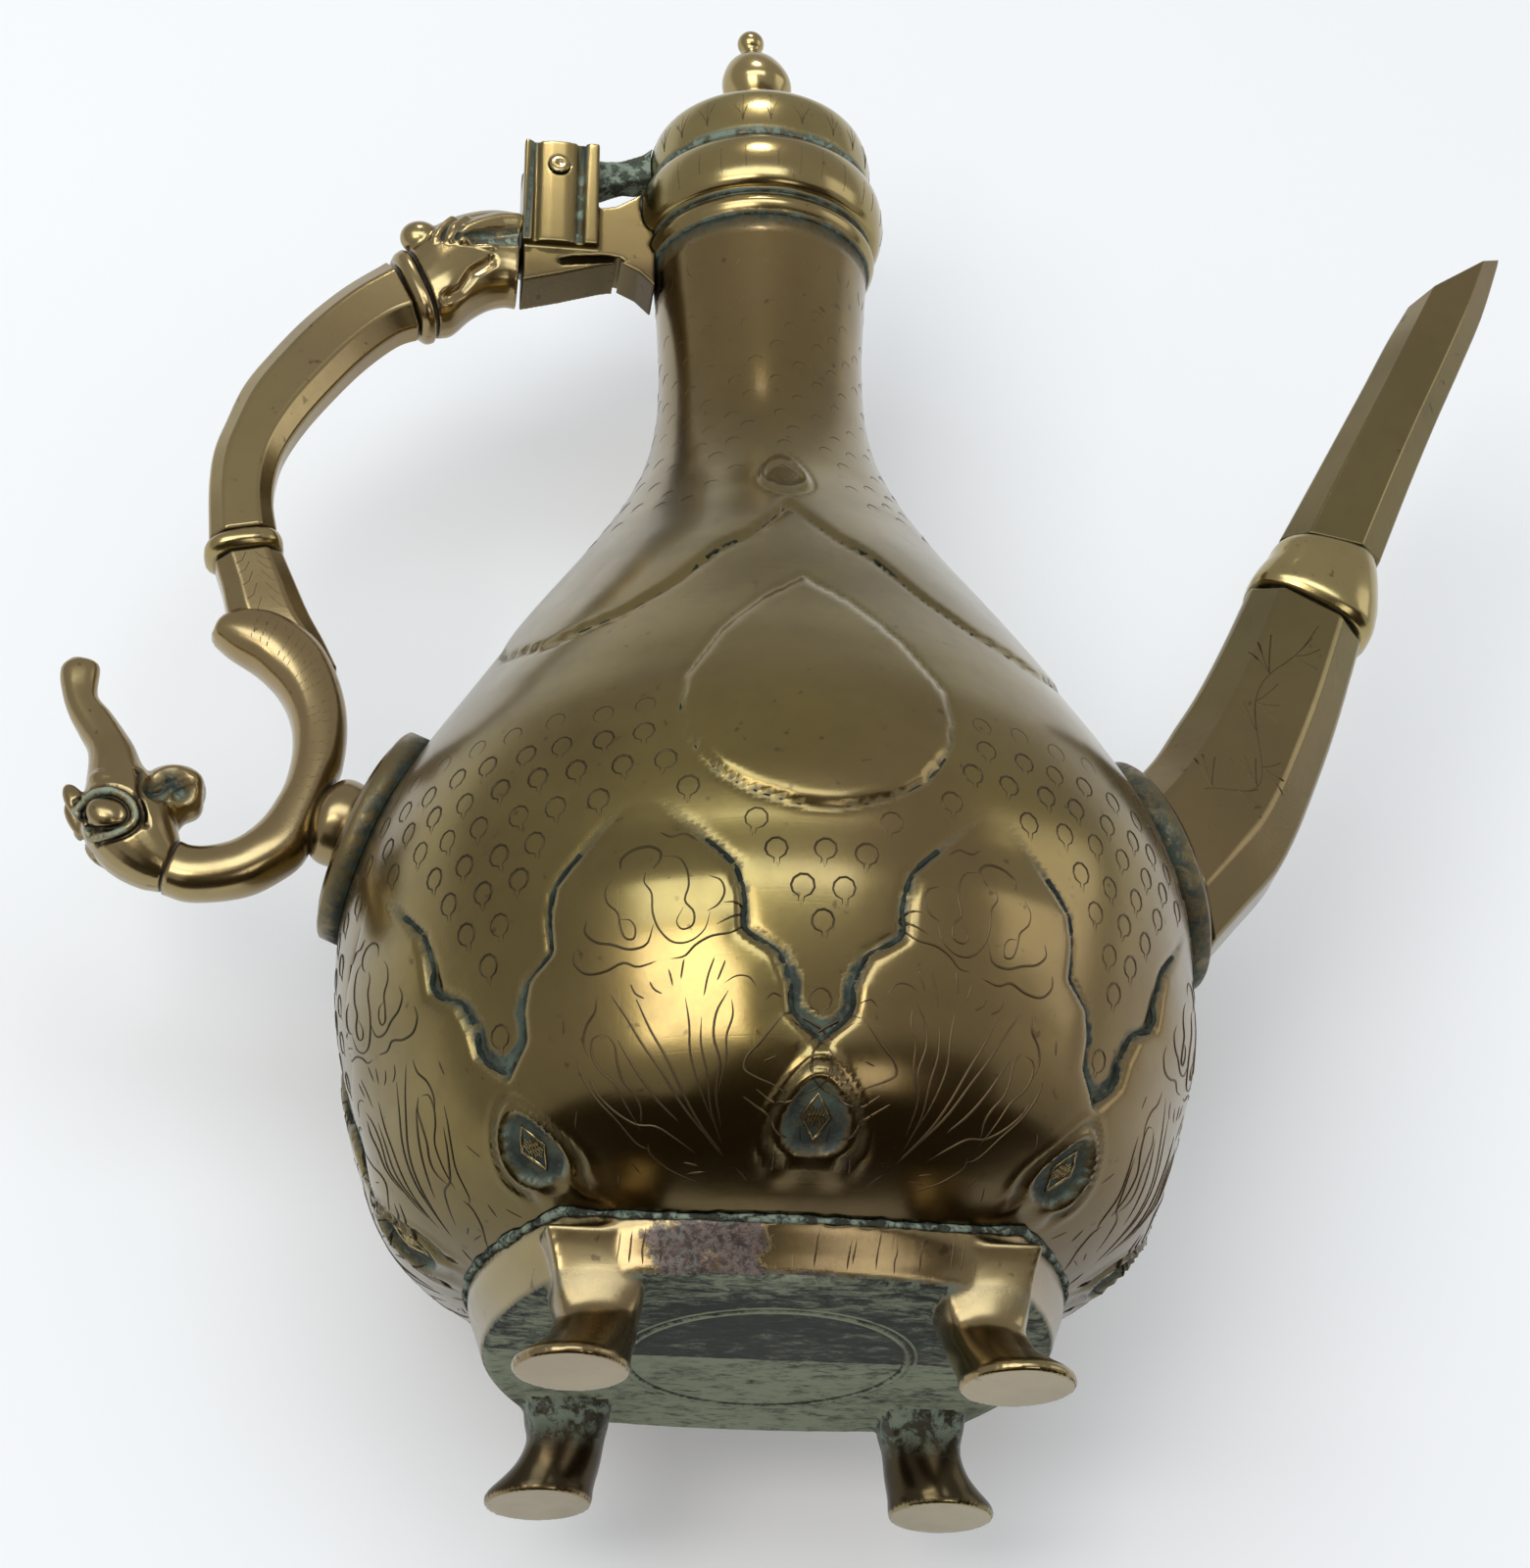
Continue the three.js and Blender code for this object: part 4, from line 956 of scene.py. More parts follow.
def makeArchDrawings():
    # clouds, reeds and grass on each of the eight arches, turned about on every other one
    strokes = []
    left, top = archSheet["origin"]
    tipRun = runAt(relief["pendant"][0][1])
    for i in range(8):
        middle = -22.5 + 45 * i
        way = -1 if i % 2 else 1
        for key, width in (("cloud", 0.27), ("reed", 0.27), ("grass", 0.21)):
            for line in archSheet[key]:
                nudge = (random.uniform(-0.4, 0.4), random.uniform(-0.4, 0.4)) if i else (0, 0)
                points = []
                for x, y in line:
                    radius, height, _ = outlineAt(tipRun + (top - y + nudge[1]) * archSheet["unit"])
                    across = way * (x - left + nudge[0]) * archSheet["unit"]
                    points.append((middle + across / math.radians(radius), height))
                strokes.append(bodyStroke(points, width, samples=3 * len(points)))
    return strokes


def makeNeckMarks():
    strokes = []
    for i in range(16):
        angle = 22.5 * i
        for side in (-1, 1):
            arc = [(side * 0.4, -1.6), (side * 1.6, -0.2), (side * 1.9, 1.8)]
            strokes.append(bodyStroke(offsetPoints(angle, 213, arc), 0.17, samples=5))
    for row in range(13):
        height = 150 + 4.3 * row
        columns = round(2 * math.pi * radiusAt(height) / 8.2)
        for i in range(columns):
            angle = (i + 0.5 * (row % 2)) * 360 / columns + random.uniform(-3, 3)
            if height < 166 and fold(angle, 180) < 16:
                continue
            arc = arcPoints(0, 0, 1.5, 200 + random.uniform(-20, 20), 20, 4)
            strokes.append(bodyStroke(offsetPoints(angle, height + random.uniform(-0.7, 0.7), arc), 0.13,
                                      lift=-0.05))
    return strokes


def makeDiamonds():
    # the hatched lozenges in the drops
    strokes = []
    for i in range(8):
        for k in (-2, -1, 0, 1, 2):
            for way in (-1, 1):
                # hatching inside the lozenge |x| / 2.3 + |y| / 4.1 = 1
                x, reach = 0.55 * k, 1 - abs(0.55 * k) / 2.3
                line = [(x - 0.6 * way * reach, -1.9 * reach), (x + 0.6 * way * reach, 1.9 * reach)]
                place = offsetPoints(45 * i, relief["dropHeight"], line)
                strokes.append(bodyStroke(place, 0.2, lift=0.05, samples=3))
        rim = [(0, -4.1), (1.2, -2), (2.3, 0), (1.2, 2), (0, 4.1), (-1.2, 2), (-2.3, 0), (-1.2, -2)]
        strokes.append(bodyStroke(offsetPoints(45 * i, relief["dropHeight"], rim), 0.3, looped=True,
                                  lift=0.05))
    return strokes


def makeTopDropLines():
    strokes = []
    for angle in (0, 180):
        for scale, width in ((1, 0.17), (0.62, 0.14)):
            rim = [(0, -4), (2.4, 0), (0, 4), (-2.4, 0)]
            strokes.append(bodyStroke(offsetPoints(angle, relief["topDropHeight"], rim, scale), width,
                                      looped=True))
    return strokes


def edgeCrust(key, low, high, width, lift, chance=1.0):
    # a broken green line that follows a motif's outline
    strokes = []
    points = [p for p in smoothLine(relief[key], 60) if low <= p.y <= high]
    for middle in range(0, 360, periods[key]):
        for side in (-1, 1):
            pieces = [[]]
            for point in points:
                if random.random() > chance:
                    pieces.append([])
                    continue
                place = bodyPlace(middle + side * point.x, point.y, lift)
                pieces[-1].append((place, width * random.uniform(0.65, 1.25)))
            strokes += [(piece, False) for piece in pieces if len(piece) > 2]
    return strokes


engrave("bud_stamps", makeBuds())
engrave("arch_engraving", makeArchDrawings())
engrave("neck_engraving", makeNeckMarks() + makeTopDropLines())
makeStrokes("drop_lozenges", makeDiamonds(), goldBrass)
makeStrokes("arch_crust", edgeCrust("pendant", 28.8, 61, 0.42, 0.22), crustGreen, 1)
makeStrokes("ogee_crust", edgeCrust("ogee", 112, 146, 0.26, -0.1, 0.9)
            + edgeCrust("medallion", 66, 88, 0.24, -0.1, 0.86), crustGreen, 1)


# Base disc, stand and feet

base = {"radius": 25.5, "thickness": 2.4, "plugRadius": 20.1, "plugTop": 7.1, "ridge": 23.7}


def makeBaseDisc():
    ridge, edge, plug, top = base["ridge"], base["radius"], base["plugRadius"], base["plugTop"]
    bm = spun([
        (0, 0.0), (6, 0.05), (ridge - 0.8, 0.05), (ridge - 0.4, -0.3), (ridge, -0.4), (ridge + 0.4, -0.25),
        (ridge + 0.8, 0.1), (edge - 0.8, 0.1), (edge - 0.4, -0.2), (edge - 0.1, -0.1), (edge, 0.3),
        (edge, base["thickness"]), (plug, base["thickness"]), (plug, top), (0, top),
    ], 96)
    bloomLayer, = markLayers(bm, "bloom")
    for vert in bm.verts:
        radius = math.hypot(vert.co.x, vert.co.y)
        if vert.co.z < 1:
            vert[bloomLayer] = bellAt(radius - ridge, 0.55) + bellAt(radius - edge + 0.3, 0.55)
    return finishPiece(bm, "base_plug", plateCrust, ["base_disc"])


stand = {
    "bottom": (47.3, 38.5), "top": (50.2, 43.6), "corner": (37.2, 34.5), "flare": 8.5, "wall": 2.6,
    "plate": 2.4,
    "hole": 25.8, "legHeight": 15.5, "soleReach": 49.9, "soleHalfLength": 9.4, "soleHalfWidth": 9,
    "sole": 1.8,
    "ankle": 7.1, "points": 160,
}


def standRing(bm, share, height, growth=0):
    # four bowed sides between upright corners, share 0 at the underside and 1 at the top
    made = bmesh.ops.create_circle(bm, segments=stand["points"], radius=1)
    width, depth = (low + share * (high - low) + growth for low, high in zip(stand["bottom"], stand["top"]))
    cornerX, cornerY = (value + growth for value in stand["corner"])
    for vert in made["verts"]:
        turn = math.degrees(math.atan2(vert.co.y, vert.co.x))
        side = round(turn / 90)
        along = (turn - 90 * side) / 45
        if side % 2:
            place = (-cornerX * along, depth - (depth - cornerY) * along ** 2)
        else:
            place = (width - (width - cornerX) * along ** 2, cornerY * along)
        way = 1 if side in (0, 1) else -1
        vert.co = (way * place[0], way * place[1], height)
    return made["verts"]


def edgesOf(verts):
    return list({edge for vert in verts for edge in vert.link_edges})


def underBelly(place):
    # how high the body's underside is over a place
    radius = math.hypot(place.x, place.y)
    return next(point.y for point in outline if point.x > radius)


def addStandSkirt(bm):
    flare, wall, plate = stand["flare"], stand["wall"], stand["plate"]
    levels = [(0, 0, -0.6), (0.02, 0.3, -0.1), (0.14, 1, 0.1)]
    for share, up in ((0.38, 0.36), (0.62, 0.58), (0.86, 0.8), (0.97, 0.93), (1, 1)):
        levels.append((share, up * flare, 0))
    rings = [standRing(bm, *level) for level in levels]
    for growth in (0, -wall):
        ring = standRing(bm, 1, 0, growth)
        for vert in ring:
            vert.co.z = max(underBelly(vert.co) - 0.25, flare * 0.75)
        rings.append(ring)
    rings.append(standRing(bm, 0, plate, 1.2 - wall))
    for height in (plate, 0):
        made = bmesh.ops.create_circle(bm, segments=stand["points"], radius=stand["hole"],
                                       matrix=Matrix.Translation((0, 0, height)))
        rings.append(made["verts"])
    loops = [edgesOf(ring) for ring in rings]
    for first, second in zip(loops, loops[1:] + loops[:1]):
        bmesh.ops.bridge_loops(bm, edges=first + second)


def addFoot(bm, angle):
    leg, reach = stand["legHeight"], stand["soleReach"]
    length, width, shank = stand["soleHalfLength"], stand["soleHalfWidth"], stand["ankle"] / 0.75
    # height, reach, half length, half width, roundness: 2 is an ellipse, 1 a square towards the corner
    levels = [
        (-leg, reach, length - 0.2, width - 0.2, 2), (-leg + 0.7, reach + 0.1, length + 0.2, width + 0.2, 2),
        (-leg + stand["sole"], reach - 0.2, length, width, 2),
        (-0.77 * leg, reach - 1.9, 0.91 * length, 0.92 * width, 1.9),
        (-0.6 * leg, reach - 4.4, 0.81 * length, 0.85 * width, 1.75),
        (-0.36 * leg, reach - 6.6, 7.5, 7.6, 1.5),
    ]
    shanks = ((-0.12, 7.3, 0.96, 1.25), (0.06, 7, 1.02, 1.1), (0.3, 5.8, 1.03, 1.05), (0.52, 4.2, 1.03, 1.05))
    for up, back, share, roundness in shanks:
        levels.append((up * leg, reach - back, share * shank, share * shank, roundness))
    corner = Vector(stand["corner"]) / 2 ** 0.5
    loops = []
    for height, out, halfLength, halfWidth, roundness in smoothLine(levels, 28):
        made = bmesh.ops.create_circle(bm, segments=40, radius=1)
        for vert in made["verts"]:
            c, s = (math.copysign(abs(value) ** (2 / roundness), value) for value in vert.co.xy)
            vert.co = (out + halfLength * c, halfWidth * s, height)
        bmesh.ops.rotate(bm, cent=(0, 0, 0), matrix=Matrix.Rotation(angle, 3, "Z"), verts=made["verts"])
        # the upper leg stands a little aside from the diagonal, under the skirt's corner
        aside = 0.5 * (corner.x - corner.y) * ramp(-0.7 * leg, -0.1 * leg, height)
        shift = (math.copysign(aside, math.cos(angle)), -math.copysign(aside, math.sin(angle)), 0)
        bmesh.ops.translate(bm, vec=shift, verts=made["verts"])
        loops.append(edgesOf(made["verts"]))
    bridgeRings(bm, loops)


def makeStand():
    bm = bmesh.new()
    addStandSkirt(bm)
    for i in range(4):
        addFoot(bm, math.radians(45 + 90 * i))
    bm = fused(bm, 0.55, 4)
    crustLayer, bloomLayer, shadeAndGrimeLayer, pitLayer = markLayers(bm, "crust", "bloom", "grime", "pitted")
    for vert in bm.verts:
        place = vert.co
        if place.z < -stand["legHeight"] + 0.35:
            place.z = -stand["legHeight"]
        radius = math.hypot(place.x, place.y)
        if radius > 42 and place.z > 5:
            gap = max(radius - radiusAt(max(place.z, 5.2)), 0)
            vert[crustLayer] = 0.85 * (1 - ramp(0.3, 1.5, gap))
            vert[bloomLayer] = 0.75 * (1 - ramp(0.3, 1.2, gap))
        # faces turned down near the underside get crust, bloom and a little painted shade
        under = max(-vert.normal.z, 0) * (1 - ramp(0.4, 1.4, place.z)) * ramp(-5, -0.5, place.z)
        if under > 0:
            vert[crustLayer] = max(vert[crustLayer], 0.8 * under)
            vert[bloomLayer] = max(vert[bloomLayer], (0.2 + 0.35 * ramp(20, 38, radius)) * under)
            vert[shadeAndGrimeLayer] = 0.2 * under
        # painted shade: the back legs and the back of the underside are darkened; crust and bloom gather near
        # their tops
        if place.z < 0.5 and place.y > 0 and place.z > -stand["legHeight"] + 0.5:
            high = ramp(-9, -2, place.z)
            vert[shadeAndGrimeLayer] = max(vert[shadeAndGrimeLayer], 0.88)
            vert[crustLayer] = max(vert[crustLayer], 0.5 * high)
            vert[bloomLayer] = max(vert[bloomLayer], 0.75 * high)
        if place.y < -34 and -1.5 < place.z < 11:
            patch = ramp(-30, -20, place.x) * (1 - ramp(-9, 1, place.x)) * (1 - 0.35 * ramp(6, 9, place.z))
            edge = ramp(-10, 2, place.x) * (1 - ramp(4, 15, place.x)) * (1 - ramp(0.2, 3.4, place.z))
            vert[pitLayer] = max(0.58 * patch, 0.55 * edge)
    print("stand:", len(bm.faces), "faces")
    piece = finishPiece(bm, "stand_casting", footBrass,
                        ["stand_frame", "foot_front_left", "foot_front_right", "foot_back_left",
                         "foot_back_right"])
    piece.data.materials.append(plateCrust)
    for face in piece.data.polygons:
        flat = face.normal.z < -0.75 and -1 * mm < face.center.z < 0.6 * mm
        face.material_index = 1 if flat else 0
    return piece


def makeJointCrust():
    # the verdigris that has grown along the joint of body and skirt
    bm = bmesh.new()
    ring = [vert.co.copy() for vert in standRing(bm, 1, 0, 0.1)]
    bm.free()
    piece = []
    for place in ring + ring[:2]:
        thick = random.uniform(0.4, 0.75) if abs(place.x) < 33 else random.uniform(0.5, 1.1)
        piece.append((Vector((place.x, place.y, underBelly(place) - 0.5)), thick))
    return [(piece, False)]


# the skirt's slope, as (height, share of the way out from bottom to top)
skirtLine = [(0, 0), (1, 0.14), (3, 0.38), (5, 0.62), (6.8, 0.86), (7.9, 0.97), (8.5, 1), (10, 1)]


def skirtPlace(x, share, side):
    # a point just under the skirt's front or back, a share of the way up
    height = skirtLine[-1][0] * share
    depth = stand["bottom"][1] + tableAt(skirtLine, height) * (stand["top"][1] - stand["bottom"][1])
    along = x / stand["corner"][0]
    return Vector((x, side * (depth - (depth - stand["corner"][1]) * along ** 2 - 0.1), height))


def makeStandStrokes():
    strokes = []
    for side in (-1, 1):
        for x in (-30, -28.6, -26.8, -24.8, -22, 2.4, 7.6, 8.6, 12.4, 15.2, 19.4, 24.6, 26.4, 28.6, 30.2):
            start = random.uniform(0.06, 0.3)
            end = random.uniform(0.55, 0.85)
            points = [skirtPlace(x + 0.6 * t + random.uniform(-0.15, 0.15), start + (end - start) * t, side)
                      for t in (0, 0.25, 0.5, 0.75, 1)]
            strokes.append(([(point, 0.22 if 0 < i < 4 else 0.1) for i, point in enumerate(points)], False))
    return strokes


makeBaseDisc()
makeStand()
makeStrokes("joint_crust", makeJointCrust(), crustGreen, 1, 0.85)
engrave("stand_engraving", makeStandStrokes())


# Mouth, lid and finial

pinLow, pinHigh = (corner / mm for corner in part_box("hinge_pin"))
pin = Vector(((pinLow.x + pinHigh.x) / 2, 0, (pinLow.z + pinHigh.z) / 2))
mouth = {"seam": 0.3, "ringHeight": 4.9, "ringRadius": 22.6, "collarHeight": 13.7, "collarRadius": 24.5}
ringBase = body["mouthHeight"] + mouth["seam"]
collarBase = ringBase + mouth["ringHeight"] + mouth["seam"]
collarTop = collarBase + mouth["collarHeight"]


def crustSeams(bm, base, height, low, high, bloomShare):
    # crust in the seams below and above a moulding, as (strength, and where it ends or starts and is full)
    crustLayer, bloomLayer = markLayers(bm, "crust", "bloom")
    for vert in bm.verts:
        share = (vert.co.z - base) / height
        vert[crustLayer] = low[0] * (1 - ramp(0, low[1], share)) + high[0] * ramp(high[1], high[2], share)
        vert[bloomLayer] = bloomShare * vert[crustLayer]


def makeNeckRing():
    edge, radius, up = body["mouthRadius"], mouth["ringRadius"], mouth["ringHeight"]
    outer = softProfile([(edge, ringBase), (edge + 0.5, ringBase + 0.3), (radius, ringBase + 0.42 * up),
                         (radius - 0.1, ringBase + 0.62 * up), (edge + 0.7, ringBase + 0.86 * up),
                         (edge + 0.3, ringBase + up)], 20)
    bm = spun([(body["bore"], ringBase)] + outer + [(body["bore"], ringBase + up)], 128)
    crustSeams(bm, ringBase, up, (0.9, 0.12), (0.9, 0.84, 0.93), 0.55)
    return finishPiece(bm, "neck_moulding", mouthBrass, ["neck_ring"])


def collarBulge():
    # the roll's outer side, as (radius, height)
    edge = body["mouthRadius"] + 0.8
    turns = [-math.pi / 2 + math.pi * i / 24 for i in range(25)]
    return [(edge + (mouth["collarRadius"] - edge) * max(math.cos(turn), 0) ** 0.9,
             collarBase + mouth["collarHeight"] * (0.48 + 0.44 * math.sin(turn))) for turn in turns]


def makeCollar():
    edge, bore = body["mouthRadius"] + 0.8, body["bore"]
    rise = [(edge, collarBase), (edge + 0.1, collarBase + 0.3), *collarBulge(),
            (edge - 0.2, collarTop - 0.6),
            (edge - 0.5, collarTop)]
    bm = spun([(bore, collarBase)] + rise + [(bore, collarTop)], 144)
    crustSeams(bm, collarBase, mouth["collarHeight"], (0.8, 0.05), (0.7, 0.93, 0.97), 0.5)
    return finishPiece(bm, "mouth_roll", mouthBrass, ["mouth_collar"])


lid = {
    "radius": 22.1, "height": 21, "wall": 2, "flange": 18.4, "flangeDepth": 2.7, "finialRadius": 7,
    "onionHeight": 15.8, "ball": 2.7, "neck": 1.7, "tipLean": -1.5, "tenon": 2.2,
    # shares of the radius and of the height, from the edge over the shoulder to the finial
    "dome": [(0.965, 0), (0.975, 0.02), (0.991, 0.086), (1, 0.214), (0.991, 0.357), (0.946, 0.505),
             (0.842, 0.619),
             (0.697, 0.743), (0.52, 0.857), (0.339, 0.962), (0.226, 1)],
    "onion": [(0.74, 0), (0.8, 0.02), (0.8, 0.05), (0.66, 0.12), (0.84, 0.26), (0.98, 0.38), (1, 0.5),
              (0.93, 0.62),
              (0.74, 0.775), (0.36, 0.93)],
}
lidBase = collarTop + mouth["seam"]
domeTop = lidBase + lid["height"]


def domeLine(radius, height, skip=0):
    points = [(out * radius, lidBase + up * height) for out, up in lid["dome"][skip:]]
    return softProfile(points, 48)


def makeLid():
    hole = lid["tenon"] + 0.3
    wall, flange = lid["wall"], lid["flange"]
    inner = domeLine(lid["radius"] - wall, lid["height"] - wall, 4)
    rim = lidBase - lid["flangeDepth"]
    profile = [(flange, lidBase)] + domeLine(lid["radius"], lid["height"])
    profile += [(hole, domeTop), (hole, domeTop - wall)] + inner[::-1]
    profile += [(flange - wall, lidBase + wall), (flange - wall, rim), (flange, rim)]
    bm = spun(profile, 144)
    crustLayer, bloomLayer = markLayers(bm, "crust", "bloom")
    for vert in bm.verts:
        if math.hypot(vert.co.x, vert.co.y) > flange - 1:
            edge = 1 - ramp(0.6, 1.9, vert.co.z - lidBase)
            vert[crustLayer] = 0.9 * edge
            vert[bloomLayer] = 0.7 * edge
    return finishPiece(bm, "lid_cap", mouthBrass, ["lid_dome"], bodyName="lid")


def makeFinial():
    base = domeTop + 0.3
    onionTop = base + lid["onionHeight"]
    ballMiddle = onionTop + lid["ball"]
    onion = [(out * lid["finialRadius"], base + up * lid["onionHeight"]) for out, up in lid["onion"]]
    onion.append((lid["neck"], onionTop - 0.5))
    ball = []
    for i in range(13):
        turn = -0.85 + (math.pi / 2 + 0.85) * i / 12
        ball.append((lid["ball"] * math.cos(turn), ballMiddle + lid["ball"] * math.sin(turn)))
    low = domeTop - lid["wall"] - 1
    bm = spun([(0, low), (lid["tenon"], low), (lid["tenon"], base)] + softProfile(onion, 36) + ball, 64)
    for vert in bm.verts:
        vert.co.x += lid["tipLean"] * ramp(base, ballMiddle, vert.co.z) ** 1.5
    return finishPiece(bm, "lid_knop", goldBrass, ["lid_finial"], bodyName="lid")


def turnedPlace(profile, angle, height):
    # a point just under a turned skin, its angle in degrees from the front towards the spout
    pairs = zip(profile, profile[1:])
    (r0, h0), (r1, h1) = next(pair for pair in pairs if pair[0][1] <= height <= pair[1][1])
    radius = r0 + (r1 - r0) * (height - h0) / max(h1 - h0, 1e-6) - 0.06
    turn = math.radians(angle)
    return Vector((radius * math.sin(turn), -radius * math.cos(turn), height))


def makeMouthMarks():
    # ticks round the collar
    profile = collarBulge()
    strokes = []
    for i in range(30):
        angle = 12 * i + random.uniform(-2, 2)
        start, end = collarBase + random.uniform(2.6, 4.2), collarBase + random.uniform(7.6, 10)
        lean = random.uniform(-1, 1)
        strokes.append(cord([turnedPlace(profile, angle + lean * t, start + (end - start) * t)
                             for t in (0, 0.3, 0.6, 1)], 0.14))
    return strokes


def makeLidMarks():
    # grass along the lid's edge, in threes
    profile = domeLine(lid["radius"], lid["height"])
    strokes = []
    for i in range(22):
        angle = 360 * i / 22 + random.uniform(-2, 2)
        for lean, top in ((-5, 7.4), (0, 9), (4.5, 8)):
            foot, reach = lidBase + 3, lidBase + top + random.uniform(-0.6, 0.6)
            points = [turnedPlace(profile, angle + lean * t ** 1.6, foot + (reach - foot) * t)
                      for t in (0, 0.3, 0.6, 0.8, 1)]
            strokes.append(([(point, 0.16 - 0.06 * k / 4) for k, point in enumerate(points)], False))
    return strokes


engrave("collar_engraving", makeMouthMarks())
engrave("lid_engraving", makeLidMarks(), "lid")
makeNeckRing()
makeCollar()
makeLid()
makeFinial()


# Hinge


def makeHinge():
    bracket = fused(copyNode("hinge_bracket"), 0.3, 7)
    crustLayer, bloomLayer, shadeAndGrimeLayer = markLayers(bracket, "crust", "bloom", "grime")
    for vert in bracket.verts:
        x, z = vert.co.x - pin.x, vert.co.z - pin.z
        if abs(vert.co.y) > pinHigh.y - 1.7 and z > -18:
            left, right = bellAt(x + 5.4 - 0.04 * z, 0.6), bellAt(x - 4.6 - 0.04 * z, 0.7)
            vert[crustLayer] = max(left, right)
            vert[bloomLayer] = right * (1 - ramp(-6, 3, z)) + 0.3 * left
            vert.co.y -= math.copysign(0.45 * max(left, right), vert.co.y)
        # darker towards the bottom of the bracket and towards its right side
        vert[shadeAndGrimeLayer] = 0.45 * (1 - ramp(-24, -19, z)) + 0.2 * ramp(4, 10, x)
    finishPiece(bracket, "hinge_casting", hingeBrass, ["hinge_bracket"])
    tongue = fused(copyNode("lid_tongue"), 0.35, 12)
    crustLayer, bloomLayer = markLayers(tongue, "crust", "bloom")
    for vert in tongue.verts:
        middle = bellAt(vert.co.x - pin.x - 11, 6)
        vert.co.y -= math.copysign(1.1 * middle, vert.co.y) * min(abs(vert.co.y) / 3, 1)
        vert[crustLayer] = 0.8
        vert[bloomLayer] = 0.95
    finishPiece(tongue, "lid_arm", greenBrass, ["lid_tongue"], bodyName="lid")
    half = (pinHigh.y - pinLow.y) / 2
    head = [(2.1, 0.5), (2.05, 0.25), (1.6, 0.06), (0.9, 0), (0.5, 0.12), (0, 0.2)]
    head = [(radius, half - back) for radius, back in head]
    foot = [(radius, -height) for radius, height in head[::-1]]
    shaft = [(2.1, -half + 0.5), (1.7, -half + 0.5), (1.7, half - 0.5)]
    bm = spun(foot + shaft + head, 48, closed=False)
    bmesh.ops.rotate(bm, cent=(0, 0, 0), matrix=Matrix.Rotation(math.pi / 2, 3, "X"), verts=bm.verts)
    bmesh.ops.translate(bm, vec=pin, verts=bm.verts)
    finishPiece(bm, "hinge_rivet", handleBrass, ["hinge_pin"])


makeHinge()


# Handle

padHeight = 94


def seatAt(height, reach, thickness, outward):
    # the middle of a pad's face on the body's side, and the turn from +Z to its direction
    tilt = math.atan2(radiusAt(height - reach) - radiusAt(height + reach), 2 * reach)
    place = Vector((outward * (radiusAt(height) + thickness * math.cos(tilt)), 0,
                    height + thickness * math.sin(tilt)))
    return place, outward * (math.pi / 2 - tilt)


handleSeat, handleTurn = seatAt(padHeight, 20, 3, -1)
spoutSeat, spoutTurn = seatAt(padHeight, 22, 3.7, 1)

dragon = {
    "head": [
        (28.9, -20.3, 21.9, -36.7, 7.3), (25.9, -15.9, 19.2, -35.7, 8.3), (21.6, -12.4, 15.8, -31.8, 8.2),
        (17.4, -10.2, 12.6, -29.4, 7.7), (12.4, -8.9, 9.4, -28.4, 7.2), (7.3, -9.1, 7.3, -28.8, 6.9),
    ],
    "collar": [
        (32.1, -22.7, 25.2, -37.5, 6.3), (31.6, -21.6, 23.9, -38, 7.2), (30.5, -20.6, 22.6, -37.6, 7.3),
        (29.6, -20.5, 22.4, -36.8, 6.6),
    ],
}


def carveAll(bm, cuts):
    # grooves and, with a negative depth, folds, as (line, width, depth, what lies in it)
    for line, width, depth, *marks in cuts:
        carveSides(bm, line, width, depth, marks)


def makeDragonHead():
    bm = bmesh.new()
    addBar(bm, placed(pin, -1, dragon["head"]), 24, roundSection(28, 0.8))
    for side in (-1, 1):
        addBlob(bm, pin + Vector((-26.6, side * 4.2, -18.2)), (3.9, 3.2, 3.4))
    bm = fused(bm, 0.34, 4)
    # the mouth, the brow with a groove under it, the wedge, the lip and then two leaves
    cuts = [
        ([(-64.5, 207.6), (-61, 208.4), (-58.4, 210.4), (-56.4, 214.2), (-53.2, 217.2), (-46.4, 218.6)],
         1.7, 1),
        ([(-59.4, 222), (-55.4, 225.2), (-51.6, 227.2), (-48.6, 227.8)], 3, -1.3),
        ([(-59.6, 221), (-54, 223.4), (-48.4, 225)], 0.9, 0.7, "crust"),
        ([(-56.4, 221.4), (-51.6, 222.4), (-48.4, 222.8)], 2, 0.9, "crust", "bloom"),
        ([(-59, 220.4), (-53, 220.2), (-47, 220)], 1.2, -0.6),
    ]
    for x in (-64, -61.4):
        cuts += [([(x, 220.6), (x + 1, 223.4), (x + 3, 226.4)], 1.5, -0.9),
                 ([(x + 1.4, 220.6), (x + 2.3, 223.4)], 0.7, 0.5, "crust")]
    carveAll(bm, cuts)
    print("dragon head:", len(bm.faces), "faces")
    return finishPiece(bm, "dragon_mask", handleBrass, ["dragon_head"])


def makeDragonCollar():
    bm = barMesh(placed(pin, -1, dragon["collar"]), 16, roundSection(32, 0.75))
    return finishPiece(bm, "dragon_bead", handleBrass, ["dragon_collar"])


